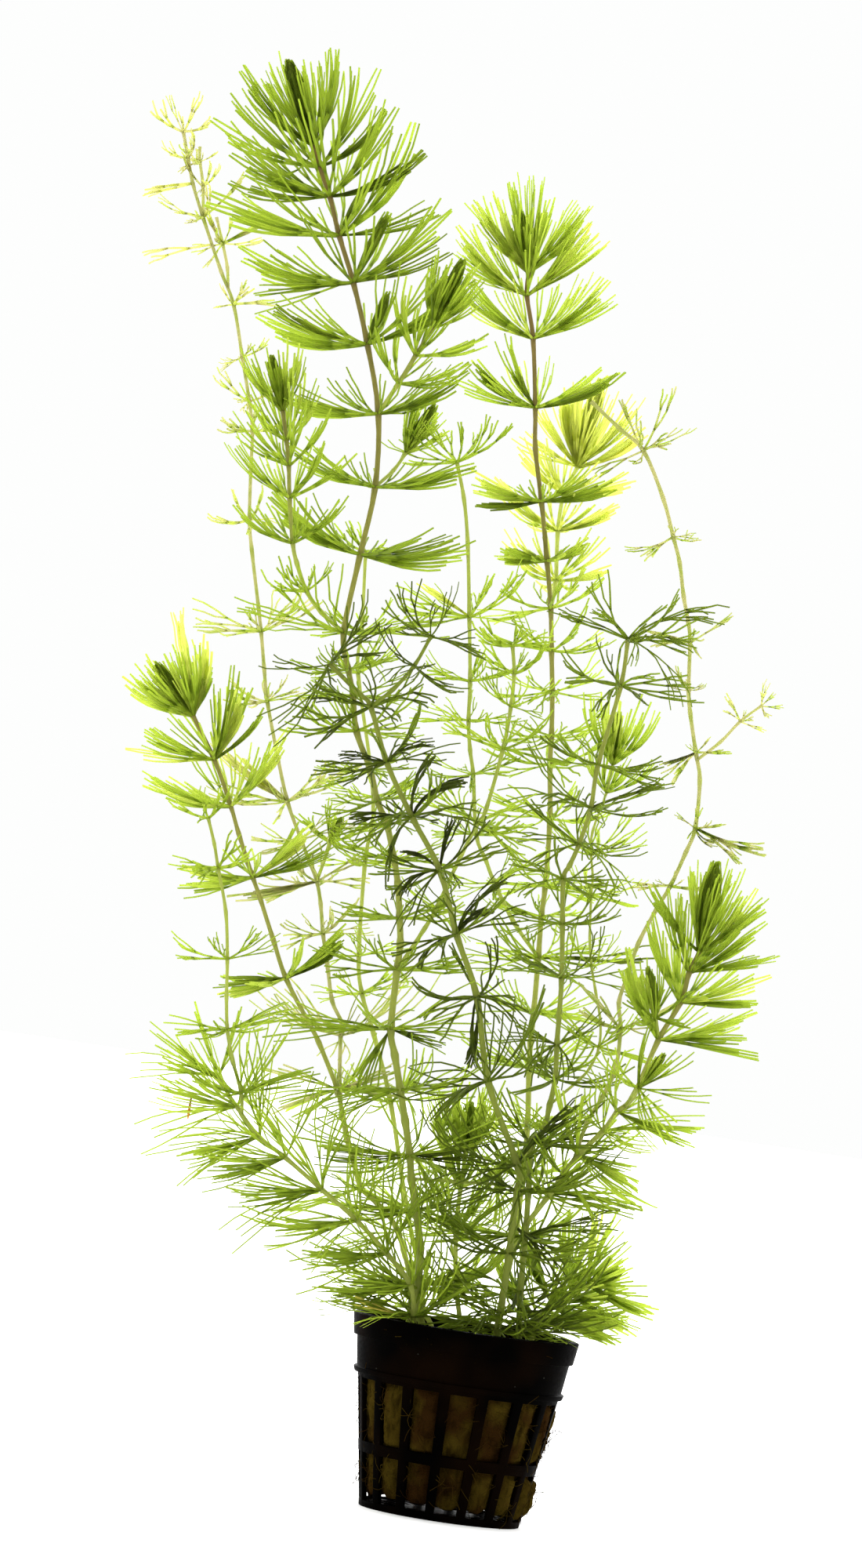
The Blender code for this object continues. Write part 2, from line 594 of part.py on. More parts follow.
def grow_leaves(skeletons, crowd):
    """Every leaf of the plant: stem name, ring and face to middle and tip."""
    leaves = {}
    for number, (name, skeleton) in enumerate(skeletons.items()):
        chance = random.Random(number)
        stem = skeleton.stem
        for order, (_, _, leaf) in enumerate(stem.nodes):
            if not leaf:
                continue
            index = skeleton.first_node + order
            lift, curl = leaf_bend(stem, order)
            step = 2 if leaf < SHORT_LEAF else 1
            for face in range(0, skeleton.sides, step):
                length = leaf * PIXEL * chance.uniform(*LEAF_LENGTHS)
                tilted = lift + math.radians(chance.uniform(-LEAF_SWAY, LEAF_SWAY))
                grown = grow_leaf(skeleton, index, face, length, tilted, curl, crowd)
                if grown:
                    leaves[name, index, face] = (*grown, leaf)
    return leaves


def stem_ring(bm, skeleton, index, shift, radius):
    """A ring of points round the stem, a little above or below its node."""
    centre = skeleton.points[index] + skeleton.alongs[index] * shift
    turn = skeleton.node_turn(index)
    ring = []
    for side in range(skeleton.sides):
        out = skeleton.direction(index, turn + side * math.tau / skeleton.sides)
        ring.append(bm.verts.new(centre + out * radius))
    return ring


def add_leaf(bm, base, skeleton, index, middle, tip, leaf):
    """Draws one face of the node's band out into a leaf, which a forked leaf widens to a fan."""
    point = bm.verts.new(tip)
    if leaf < FORKED_LEAF:
        ring = base
    else:
        run = (tip - skeleton.points[index]).normalized()
        wide = skeleton.alongs[index].cross(run).normalized() * FAN_WIDTH * leaf * PIXEL / 2
        thick = run.cross(wide).normalized() * FAN_THICKNESS / 2
        ring = [bm.verts.new(middle + side) for side in (-wide - thick, wide - thick, wide + thick, thick - wide)]
        for corner in range(4):
            after = (corner + 1) % 4
            bm.faces.new((base[corner], base[after], ring[after], ring[corner]))
    for corner in range(4):
        bm.faces.new((ring[corner], ring[(corner + 1) % 4], point))


def add_node_band(bm, skeleton, index, leaves):
    """The short band at a leaf node. Gives its lower and upper ring."""
    radius = skeleton.radius(index)
    low = stem_ring(bm, skeleton, index, -NODE_HEIGHT / 2, radius)
    high = stem_ring(bm, skeleton, index, NODE_HEIGHT / 2, radius)
    for face in range(skeleton.sides):
        after = (face + 1) % skeleton.sides
        base = (low[face], low[after], high[after], high[face])
        grown = leaves.get((skeleton.stem.name, index, face))
        if grown:
            add_leaf(bm, base, skeleton, index, *grown)
        else:
            bm.faces.new(base)
    return low, high


def add_bud(bm, skeleton, last_ring):
    """The spindle of young leaves at the tip of a growing stem."""
    _, tip, radius = skeleton.bud_points()
    base = skeleton.points[-1]
    run = (tip - base).normalized()
    turn = skeleton.alongs[-1].rotation_difference(run)
    for share, part in BUD_RINGS:
        centre = base.lerp(tip, share)
        ring = []
        for side in range(skeleton.sides):
            angle = skeleton.node_turn(len(skeleton.points) - 1) + side * math.tau / skeleton.sides
            out = turn @ skeleton.direction(-1, angle)
            ring.append(bm.verts.new(centre + out * radius * part))
        join_rings(bm, last_ring, ring)
        last_ring = ring
    point = bm.verts.new(tip)
    for side in range(skeleton.sides):
        bm.faces.new((last_ring[side], last_ring[(side + 1) % skeleton.sides], point))


def make_stem(skeleton, leaves):
    """A stem with its whorls, as one closed body."""
    bm = bmesh.new()
    stem = skeleton.stem
    last_ring = None
    for index in range(len(skeleton.points)):
        order = index - skeleton.first_node
        if order >= 0 and stem.nodes[order][2]:
            low, high = add_node_band(bm, skeleton, index, leaves)
        else:
            low = high = stem_ring(bm, skeleton, index, 0.0, skeleton.radius(index))
        if last_ring is None:
            bm.faces.new(low)
        else:
            join_rings(bm, last_ring, low)
        last_ring = high
    if stem.bud:
        add_bud(bm, skeleton, last_ring)
    else:
        bm.faces.new(last_ring)
    colour = LEAF_COLOUR
    if stem.name in PALE_STEMS:
        colour = PALE_COLOUR
    if stem.name in DARK_STEMS:
        colour = DARK_COLOUR
    return add_object(stem.name, bm, material(stem.name, colour, 0.5))


def make_plant():
    skeletons = {}
    crowd = Crowd()
    for stem in STEMS:
        skeleton = Skeleton(stem, skeletons)
        skeletons[stem.name] = skeleton
        for index, (before, after) in enumerate(zip(skeleton.points, skeleton.points[1:])):
            owner = (stem.name, "stem", index)
            crowd.add(before, after, skeleton.radius(index), skeleton.radius(index + 1), owner)
        if stem.bud:
            middle, tip, radius = skeleton.bud_points()
            crowd.add(skeleton.points[-1], middle, skeleton.thin, radius, (stem.name, "bud"))
            crowd.add(middle, tip, radius, TIP_RADIUS, (stem.name, "bud"))
    leaves = grow_leaves(skeletons, crowd)
    for skeleton in skeletons.values():
        make_stem(skeleton, leaves)
    return skeletons


remove_everything()
make_net_pot()
plant = make_plant()
standing = [s for s in plant.values() if s.stem.parent is IN_WOOL]
make_rock_wool([((s.points[0].x, s.points[0].y), s.thick) for s in standing])
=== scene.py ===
# %% [markdown]
# # A potted hornwort
# Hornwort is a water plant without roots. Its thin stems carry rings of needle leaves, called whorls,
# and each leaf forks twice. This one stands in a slotted net pot, held by a plug of rock wool.
# The pieces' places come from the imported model, which is loaded first and never changed.

import json
import math
import random
from collections import namedtuple

import bmesh
import bpy
import numpy as np
from mathutils import Matrix, Quaternion, Vector

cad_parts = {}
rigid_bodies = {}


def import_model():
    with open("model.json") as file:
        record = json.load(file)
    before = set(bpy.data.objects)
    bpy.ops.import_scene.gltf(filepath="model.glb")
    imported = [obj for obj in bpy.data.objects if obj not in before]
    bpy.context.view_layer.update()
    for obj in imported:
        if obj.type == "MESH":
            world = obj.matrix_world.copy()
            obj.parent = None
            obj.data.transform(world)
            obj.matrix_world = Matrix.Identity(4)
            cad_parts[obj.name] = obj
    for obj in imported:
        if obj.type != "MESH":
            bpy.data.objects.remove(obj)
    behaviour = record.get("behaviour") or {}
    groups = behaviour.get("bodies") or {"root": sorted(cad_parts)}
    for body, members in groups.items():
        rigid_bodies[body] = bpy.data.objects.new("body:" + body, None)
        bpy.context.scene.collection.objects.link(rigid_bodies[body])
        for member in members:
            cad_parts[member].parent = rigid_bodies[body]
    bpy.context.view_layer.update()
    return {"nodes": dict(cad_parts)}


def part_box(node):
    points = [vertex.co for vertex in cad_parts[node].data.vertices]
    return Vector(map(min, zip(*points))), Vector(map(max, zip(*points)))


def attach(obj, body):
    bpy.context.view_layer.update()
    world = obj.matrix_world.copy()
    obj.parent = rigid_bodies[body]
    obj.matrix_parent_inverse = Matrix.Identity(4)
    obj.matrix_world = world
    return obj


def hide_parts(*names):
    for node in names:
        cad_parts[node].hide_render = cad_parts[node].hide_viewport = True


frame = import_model()
print("packed nodes:", len(frame["nodes"]))

# %% [markdown]
# ## Small helpers
# An operator acts on everything that is selected, and the loaded nodes arrive selected. So each
# step first lets go of everything, and then holds only the object it works on.

# %% Selecting and finishing
MM = 0.001


def let_go():
    if bpy.context.object and bpy.context.object.mode != "OBJECT":
        bpy.ops.object.mode_set(mode="OBJECT")
    bpy.ops.object.select_all(action="DESELECT")


def hold(obj):
    let_go()
    obj.select_set(True)
    bpy.context.view_layer.objects.active = obj


def apply_modifier(obj, modifier):
    hold(obj)
    bpy.ops.object.modifier_apply(modifier=modifier.name)


def between(low, high, share):
    return low + (high - low) * share


def add_piece(piece, slot, *nodes):
    """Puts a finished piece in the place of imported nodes."""
    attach(piece, "root")
    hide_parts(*nodes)
    print(piece.name, len(piece.data.polygons), "faces")


# %% [markdown]
# ## Where the plant is in the picture
# The stems were traced in the photograph. The pot leans to the right there, and the plant rises
# straight up. Here the pot stands level, so the plant leans to the left and the camera is rolled.

# %% From the photograph to space
PIXEL = 0.189 * MM
FOOT_ACROSS = 559.5
FOOT_DOWN = 1932.5
POT_LEAN = math.radians(8.5)
PHOTO_MIDDLE = (550, 1000)
PHOTO_HEIGHT = 2000


def place(across, down, depth):
    aside = (across - FOOT_ACROSS) * PIXEL
    up = (FOOT_DOWN - down) * PIXEL
    x = aside * math.cos(POT_LEAN) - up * math.sin(POT_LEAN)
    z = aside * math.sin(POT_LEAN) + up * math.cos(POT_LEAN)
    return Vector((x, depth, z))


# %% [markdown]
# ## Camera, floor and light
# The photograph was taken against a bright white panel with a long lens. The light that matters
# comes from behind, so the leaves glow where one is in front of white, and darken where they pile up.

# %% Camera
CAMERA_DISTANCE = 2.0
CAMERA_PITCH = math.radians(0.7)
SENSOR = 36.0

camera_data = bpy.data.cameras.new("camera")
camera = bpy.data.objects.new("camera", camera_data)
bpy.context.scene.collection.objects.link(camera)
camera_data.sensor_width = SENSOR
camera_data.lens = SENSOR * CAMERA_DISTANCE / (PHOTO_HEIGHT * PIXEL)
picture_right = Vector((math.cos(POT_LEAN), 0, math.sin(POT_LEAN)))
picture_up = Vector((-math.sin(POT_LEAN), 0, math.cos(POT_LEAN)))
towards = (Vector((0, 1, 0)) * math.cos(CAMERA_PITCH) + picture_up * math.sin(CAMERA_PITCH)).normalized()
up_axis = picture_right.cross(towards).normalized()
camera_turn = Matrix((picture_right, up_axis, -towards)).transposed()
camera.rotation_euler = camera_turn.to_euler()
camera.location = place(*PHOTO_MIDDLE, 0) - towards * CAMERA_DISTANCE
bpy.context.scene.camera = camera

# %% Floor
let_go()
bpy.ops.mesh.primitive_circle_add(vertices=96, radius=4.0, fill_type="NGON")
floor = bpy.context.object
floor.name = "floor"
paper = bpy.data.materials.new("white_paper")
paper.use_nodes = True
paper_shader = paper.node_tree.nodes["Principled BSDF"]
paper_shader.inputs["Base Color"].default_value = (0.93, 0.93, 0.93, 1)
paper_shader.inputs["Roughness"].default_value = 0.9
paper_shader.inputs["Specular IOR Level"].default_value = 0.1
floor.data.materials.append(paper)

# %% Light
FRONT_LIGHT = 0.7
BACK_LIGHT = 4.2
world = bpy.data.worlds.new("bright_room")
bpy.context.scene.world = world
world.use_nodes = True
world_nodes = world.node_tree.nodes
world_links = world.node_tree.links
world_nodes.clear()
seen = world_nodes.new("ShaderNodeBackground")
seen.inputs["Color"].default_value = (0.985, 0.99, 0.985, 1)
lighting = world_nodes.new("ShaderNodeBackground")
lighting.inputs["Color"].default_value = (1, 1, 1, 1)
direction = world_nodes.new("ShaderNodeTexCoord")
split = world_nodes.new("ShaderNodeSeparateXYZ")
front_to_back = world_nodes.new("ShaderNodeMapRange")
front_to_back.inputs["From Min"].default_value = -0.5
front_to_back.inputs["From Max"].default_value = 0.6
front_to_back.inputs["To Min"].default_value = FRONT_LIGHT
front_to_back.inputs["To Max"].default_value = BACK_LIGHT
world_links.new(direction.outputs["Generated"], split.inputs["Vector"])
world_links.new(split.outputs["Y"], front_to_back.inputs["Value"])
world_links.new(front_to_back.outputs["Result"], lighting.inputs["Strength"])
ray = world_nodes.new("ShaderNodeLightPath")
choose = world_nodes.new("ShaderNodeMixShader")
world_out = world_nodes.new("ShaderNodeOutputWorld")
world_links.new(ray.outputs["Is Camera Ray"], choose.inputs["Fac"])
world_links.new(lighting.outputs["Background"], choose.inputs[1])
world_links.new(seen.outputs["Background"], choose.inputs[2])
world_links.new(choose.outputs["Shader"], world_out.inputs["Surface"])


def add_panel(name, location, target, size, power):
    """A soft square lamp that faces a target and isn't seen itself."""
    data = bpy.data.lights.new(name, "AREA")
    data.shape = "SQUARE"
    data.size = size
    data.energy = power
    lamp = bpy.data.objects.new(name, data)
    bpy.context.scene.collection.objects.link(lamp)
    lamp.location = location
    lamp.rotation_euler = (Vector(target) - Vector(location)).to_track_quat("-Z", "Y").to_euler()
    lamp.visible_camera = False
    return lamp


PLANT_MIDDLE = (-0.03, 0.0, 0.18)
add_panel("light_panel", (0.0, 0.9, 0.55), PLANT_MIDDLE, 1.2, 8.0)
bpy.context.scene.view_settings.view_transform = "Standard"
bpy.context.scene.view_settings.look = "None"

# %% [markdown]
# ## The stems
# Each stem is a list of nodes: across and down in the photograph, and the length of the leaves
# there, all in pixels. Depths grow away from the viewer. A side shoot starts on its parent.

# %% Routes of the stems
Stem = namedtuple("Stem", "name parent root depths girths lifts curls nodes bud", defaults=(None,))

IN_WOOL = None
WOOL_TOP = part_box("rock_wool")[1].z
STEM_DEPTH = 12.0 * MM
NODE_HEIGHT = 1.0 * MM

STEMS = (
    Stem("tall_stem", IN_WOOL, (-10.5, -3.5), (-4, -9, -5), (1.9, 1.1), (0, 45), (15, 42), (
        (536, 1676, 115), (534, 1642, 125), (536, 1590, 0), (531, 1543, 120), (525, 1502, 0), (523, 1472, 150),
        (517, 1428, 0), (511, 1389, 125), (504, 1345, 0), (499, 1312, 130), (507, 1236, 110), (511, 1203, 0),
        (510, 1171, 100), (508, 1129, 0), (503, 1096, 95), (494, 1052, 75), (482, 1022, 85), (473, 983, 85),
        (455, 933, 105), (451, 888, 85), (445, 855, 85), (439, 808, 150), (460, 709, 150), (479, 623, 130),
        (483, 530, 135), (469, 441, 160), (451, 362, 165), (433, 302, 175), (421, 252, 165), (408, 214, 160),
        (401, 187, 135),
    ), (366, 75, 3.4)),
    Stem("front_stem", IN_WOOL, (7.5, -10), (-10, -20, -22), (1.9, 1.1), (5, 0), (15, -10), (
        (634, 1690, 115), (638, 1670, 130), (649, 1595, 145), (653, 1559, 0), (659, 1515, 140), (659, 1482, 130),
        (622, 1377, 125), (608, 1270, 105), (582, 1191, 110), (561, 1110, 105), (526, 1043, 105), (494, 974, 100),
        (474, 904, 110), (460, 888, 0), (422, 850, 110),
    )),
    Stem("low_left_stem", IN_WOOL, (-12.5, -13), (-13, -20, -14), (1.4, 0.9), (30, 38), (8, 8), (
        (528, 1674, 110), (524, 1634, 120), (494, 1594, 125), (456, 1552, 130), (412, 1513, 125), (366, 1473, 120),
        (333, 1447, 115), (304, 1409, 115), (280, 1372, 100),
    )),
    Stem("left_plume", IN_WOOL, (-14, 5), (6, 9, 0), (1.4, 1.0), (0, 40), (15, 34), (
        (524, 1640, 100), (507, 1571, 110), (484, 1540, 0), (460, 1516, 115), (452, 1487, 0), (437, 1426, 0),
        (430, 1391, 90), (406, 1330, 0), (392, 1303, 0), (364, 1248, 105), (348, 1199, 0), (331, 1145, 0),
        (322, 1119, 108), (304, 1063, 0), (294, 1028, 125), (273, 968, 112), (246, 912, 110),
    ), (196, 843, 2.6)),
    Stem("right_stem", IN_WOOL, (8, 11), (10, 16, 8), (1.5, 1.0), (0, 40), (15, 32), (
        (637, 1688, 110), (642, 1655, 110), (658, 1580, 100), (668, 1500, 90), (674, 1438, 95), (676, 1364, 90),
        (678, 1331, 0), (682, 1293, 85), (688, 1222, 100), (692, 1169, 85), (697, 1130, 85), (703, 1044, 100),
        (703, 974, 100), (705, 937, 90), (706, 880, 90), (705, 828, 95), (704, 773, 100), (699, 712, 70),
        (692, 636, 100), (684, 569, 0), (684, 516, 115), (681, 428, 122), (673, 373, 125), (675, 344, 120),
    ), (665, 262, 3.2)),
    Stem("dark_stem", IN_WOOL, (13, -2), (-2, -8, -12), (1.5, 1.0), (5, 5), (18, 0), (
        (662, 1692, 110), (664, 1645, 110), (670, 1575, 100), (674, 1520, 90), (678, 1457, 100), (693, 1440, 0),
        (701, 1408, 0), (708, 1375, 100), (710, 1331, 80), (713, 1293, 0), (716, 1247, 135), (717, 1178, 90),
        (718, 1121, 90), (726, 1104, 0), (738, 1077, 95), (753, 1031, 120), (762, 976, 90), (791, 876, 100),
        (800, 817, 125),
    )),
    Stem("back_stem", IN_WOOL, (-8, 13), (13, 18, 13), (1.3, 0.8), (5, 10), (20, 30), (
        (540, 1675, 100), (538, 1640, 100), (518, 1540, 100), (498, 1408, 95), (476, 1320, 0), (461, 1268, 75),
        (457, 1220, 75), (465, 1100, 80), (476, 1015, 75), (456, 856, 70), (461, 803, 70), (466, 700, 60),
    )),
    Stem("young_shoot", IN_WOOL, (-1, 6), (7, 8, 9), (1.4, 1.0), (10, 45), (30, 40), (
        (582, 1640, 100), (582, 1575, 105), (588, 1515, 100), (595, 1470, 95),
    ), (603, 1405, 1.8)),
    Stem("low_right_plume", IN_WOOL, (16, 7), (8, 10, 10), (1.5, 1.1), (15, 30), (20, 20), (
        (688, 1685, 115), (706, 1665, 115), (730, 1650, 115), (752, 1640, 105),
    ), (800, 1622, 2.4)),
    Stem("left_branch", "tall_stem", (439, 808), (-18, -14), (1.1, 1.0), (15, 48), (40, 32), (
        (411, 783, 0), (392, 756, 60), (380, 721, 0), (375, 696, 100), (371, 639, 110), (370, 598, 100),
        (367, 566, 95), (362, 528, 95),
    ), (346, 455, 3.0)),
    Stem("right_branch", "tall_stem", (483, 530), (-13, -13), (1.1, 1.0), (20, 46), (40, 32), (
        (509, 492, 95), (531, 457, 105), (553, 422, 95),
    ), (592, 332, 2.8)),
    Stem("small_branch", "tall_stem", (479, 623), (-1, 2), (0.9, 0.8), (10, 45), (40, 40), (
        (502, 600, 0), (518, 577, 65),
    ), (556, 512, 2.2)),
    Stem("front_branch", "front_stem", (474, 904), (-29, -27), (1.0, 0.8), (0, 10), (20, 10), (
        (502, 883, 0), (529, 853, 75), (550, 816, 85),
    )),
    Stem("yellow_branch", "right_stem", (704, 773), (24, 26), (1.1, 0.9), (12, 42), (36, 28), (
        (711, 736, 95), (714, 671, 95), (722, 623, 95), (740, 588, 105),
    ), (770, 472, 3.2)),
    Stem("slim_right_stem", "dark_stem", (701, 1408), (4, 8), (0.7, 0.6), (5, 35), (25, 45), (
        (738, 1377, 0), (753, 1360, 0), (764, 1335, 75), (766, 1303, 0), (760, 1264, 0), (755, 1232, 75),
        (753, 1197, 0), (755, 1141, 75), (757, 1119, 0), (755, 1090, 90), (757, 1060, 0), (775, 1010, 75),
        (783, 974, 105),
    ), (790, 905, 2.4)),
    Stem("right_plume", "dark_stem", (672, 1555), (-15, -16), (1.4, 1.2), (15, 55), (18, 28), (
        (699, 1524, 85), (718, 1496, 90), (737, 1471, 110), (768, 1440, 70), (786, 1416, 75), (806, 1396, 0),
        (838, 1324, 125), (866, 1277, 118), (877, 1239, 118), (890, 1214, 112),
    ), (912, 1095, 4.2)),
    Stem("lower_side_shoot", "right_plume", (796, 1405), (-20, -22), (0.9, 0.8), (15, 40), (30, 40), (
        (812, 1385, 80),
    ), (846, 1340, 2.2)),
    Stem("upper_side_shoot", "right_plume", (836, 1330), (-20, -20), (0.9, 0.8), (15, 40), (30, 40), (
        (834, 1296, 55),
    ), (824, 1230, 2.2)),
    Stem("far_right_stem", "right_plume", (733, 1476), (0, 6), (1.0, 0.9), (5, 10), (20, 10), (
        (747, 1433, 0), (770, 1394, 0), (785, 1360, 0), (791, 1311, 85), (789, 1278, 0), (799, 1247, 0),
        (814, 1203, 0), (837, 1160, 0), (855, 1130, 60), (875, 1087, 0), (887, 1056, 50), (893, 995, 0),
        (888, 960, 60), (881, 909, 0), (879, 880, 50), (881, 819, 70), (879, 794, 0), (873, 760, 0),
        (868, 717, 0), (860, 684, 70), (847, 634, 0), (822, 573, 95), (793, 546, 0), (755, 510, 0),
    )),
    Stem("far_right_twig", "far_right_stem", (889, 965), (2, 0), (0.8, 0.6), (10, 20), (10, 10), (
        (920, 946, 0), (945, 920, 40), (972, 900, 50),
    )),
    Stem("far_left_stem", "left_plume", (452, 1487), (20, 10), (1.0, 0.8), (5, 20), (20, 30), (
        (441, 1453, 0), (433, 1391, 90), (434, 1322, 120), (434, 1303, 0), (423, 1278, 0), (417, 1233, 0),
        (411, 1191, 75), (408, 1153, 0), (403, 1124, 95), (394, 1100, 0), (383, 1071, 80), (365, 1021, 115),
        (351, 956, 0), (339, 892, 70), (335, 850, 0), (331, 802, 100), (328, 774, 0), (319, 697, 0),
        (316, 658, 65), (318, 590, 0), (320, 544, 55), (316, 506, 55), (307, 449, 50), (296, 382, 60),
        (280, 340, 0), (257, 271, 85), (244, 228, 0), (238, 195, 50), (232, 162, 62),
    )),
    Stem("far_left_twig", "far_left_stem", (257, 268), (13, 13), (0.8, 0.7), (10, 20), (20, 30), (
        (257, 231, 45), (253, 199, 50), (253, 180, 0),
    )),
    Stem("far_left_lower_twig", "far_left_stem", (290, 365), (15, 15), (0.8, 0.7), (10, 20), (20, 30), (
        (288, 335, 0), (282, 304, 65), (274, 270, 0),
    )),
    Stem("left_side_shoot", "far_left_stem", (403, 1124), (20, 22), (0.9, 0.8), (15, 40), (30, 40), (
        (421, 1073, 65),
    ), (436, 1040, 1.8)),
    Stem("low_left_branch", "low_left_stem", (309, 1418), (-22, -16), (0.9, 0.8), (5, 10), (20, 30), (
        (310, 1391, 90), (299, 1347, 0), (293, 1311, 85), (292, 1268, 0), (293, 1222, 80), (291, 1163, 0),
        (281, 1107, 65), (276, 1077, 0), (268, 1044, 55),
    )),
    Stem("centre_stem", "right_stem", (689, 1215), (6, 4), (1.0, 0.9), (0, 15), (20, 40), (
        (656, 1176, 0), (631, 1125, 75), (620, 1096, 0), (608, 1064, 75), (604, 987, 75), (600, 956, 0),
        (598, 918, 75), (600, 868, 75), (599, 786, 115), (597, 692, 0), (592, 634, 0), (583, 588, 100),
    )),
    Stem("cross_stem", "tall_stem", (507, 1236), (-2, -2), (1.0, 0.9), (5, 10), (20, 30), (
        (542, 1184, 0), (557, 1158, 75), (587, 1094, 0), (610, 1050, 100), (620, 1033, 0), (642, 955, 100),
        (652, 901, 80), (656, 859, 60), (654, 824, 65),
    )),
    Stem("cross_twig", "tall_stem", (525, 1502), (-4, -1), (0.8, 0.7), (10, 10), (10, 10), (
        (580, 1506, 0), (633, 1510, 65),
    )),
)
print("stems:", len(STEMS))

# %% [markdown]
# A stem's node sits where its whorl grows. Between the nodes the stem bends smoothly, so the route
# is a smooth curve through the nodes, and each point also carries two axes across the stem.


# %% Routes in space
def depth_curve(first, middle, last, share):
    early = first * (1 - share) * (1 - 2 * share)
    half = middle * 4 * share * (1 - share)
    late = last * share * (2 * share - 1)
    return early + half + late


def smooth_point(before, start, end, after, share):
    """A point of the curve that runs through start and end, bent by the points beyond them."""
    square, cube = share * share, share ** 3
    return 0.5 * (2 * start + (end - before) * share
                  + (2 * before - 5 * start + 4 * end - after) * square
                  + (3 * start - before - 3 * end + after) * cube)


class Route:
    """A stem's way through space: its nodes, and a finer smooth line through them."""

    def __init__(self, stem, routes):
        self.stem = stem
        self.thick = stem.girths[0] / 2 * MM
        self.thin = stem.girths[1] / 2 * MM
        depths = [value * MM for value in stem.depths]
        if stem.parent is not IN_WOOL:
            fork, along = routes[stem.parent].nearest(place(*stem.root, 0.0))
            depths = [fork.y] + depths
        self.nodes = [place(across, down, depth_curve(*depths, share))
                      for (across, down, _), share in zip(stem.nodes, self.shares())]
        if stem.parent is IN_WOOL:
            foot = Vector((stem.root[0] * MM, stem.root[1] * MM, WOOL_TOP))
            self.start = [foot - Vector((0, 0, STEM_DEPTH)), foot + Vector((0, 0, NODE_HEIGHT))]
        else:
            self.start = [fork]
        self.trace()

    def shares(self):
        flat = [place(across, down, 0.0) for across, down, _ in self.stem.nodes]
        reach = [0.0]
        for before, after in zip(flat, flat[1:]):
            reach.append(reach[-1] + (after - before).length)
        start = (flat[1] - flat[0]).length if len(flat) > 1 else reach[-1] + MM
        return [(value + start) / (reach[-1] + start) for value in reach]

    def trace(self):
        """The smooth line, with the number of the line's point at which each node sits."""
        corners = self.start + self.nodes
        padded = [2 * corners[0] - corners[1]] + corners + [2 * corners[-1] - corners[-2]]
        self.line, self.node_places = [], []
        for index in range(len(corners) - 1):
            if index >= len(self.start):
                self.node_places.append(len(self.line))
            for step in range(STEPS):
                self.line.append(smooth_point(*padded[index:index + 4], step / STEPS))
        if len(corners) > len(self.start):
            self.node_places.append(len(self.line))
        self.line.append(corners[-1])
        last = len(self.line) - 1
        self.alongs = [(self.line[min(i + 1, last)] - self.line[max(i - 1, 0)]).normalized()
                       for i in range(last + 1)]
        self.outs = [self.alongs[0].orthogonal().normalized()]
        for before, along in zip(self.alongs, self.alongs[1:]):
            carried = before.rotation_difference(along) @ self.outs[-1]
            self.outs.append((carried - along * carried.dot(along)).normalized())

    def radius(self, index):
        return between(self.thick, self.thin, index / max(len(self.line) - 1, 1))

    def nearest(self, target):
        best = min(range(len(self.line)),
                   key=lambda i: math.hypot(self.line[i].x - target.x, self.line[i].z - target.z))
        return self.line[best], self.alongs[best]


STEPS = 4
routes = {}
for stem in STEMS:
    routes[stem.name] = Route(stem, routes)
print("longest route has", max(len(route.line) for route in routes.values()), "points")

# %% [markdown]
# ## One leaf
# A hornwort leaf is a bare stalk that forks into two arms, and each arm forks again into two needles.
# It is drawn as seven thin curves with a square bevel, for the stalk, the arms and the needles, and
# hundreds of copies follow, so it has few faces. It is drawn in millimetres and copied later at its
# real size.

# %% Kinds of leaf
# Forks are shares of the leaf's length, and gaps are shares of it too. closing draws the tips together.
LeafKind = namedtuple("LeafKind", "first_fork second_fork arm_gap needle_gap closing wave root_girth tip_girth")
LEAF_KINDS = {
    "open": LeafKind(0.22, 0.48, 0.120, 0.065, 0.0, 0.013, 0.22, 0.13),
    "narrow": LeafKind(0.28, 0.55, 0.065, 0.038, 0.1, 0.012, 0.22, 0.13),
    "fan": LeafKind(0.10, 0.30, 0.110, 0.060, 0.1, 0.004, 0.22, 0.14),
    "slender": LeafKind(0.13, 0.32, 0.085, 0.034, 0.1, 0.005, 0.25, 0.145),
    "blade": LeafKind(0.13, 0.28, 0.050, 0.028, 0.7, 0.003, 0.28, 0.16),
}
LEAF_LENGTHS = {"long": 27.0, "middle": 18.0, "short": 10.0}
EARLY_FORK = 0.4


SQUARE_CORNER = math.sqrt(2)


def round_line(name, runs, resolution):
    """Closed tubes along runs of points, each given with its radius, as one selected mesh object."""
    curve = bpy.data.curves.new(name, "CURVE")
    curve.dimensions = "3D"
    curve.bevel_depth = 1.0
    curve.bevel_resolution = resolution
    curve.use_fill_caps = True
    for run in runs:
        spline = curve.splines.new("POLY")
        spline.points.add(len(run) - 1)
        for spot, (point, radius) in zip(spline.points, run):
            spot.co = (*point, 1)
            spot.radius = radius
    line = bpy.data.objects.new(name, curve)
    bpy.context.scene.collection.objects.link(line)
    hold(line)
    bpy.ops.object.convert(target="MESH")
    return line


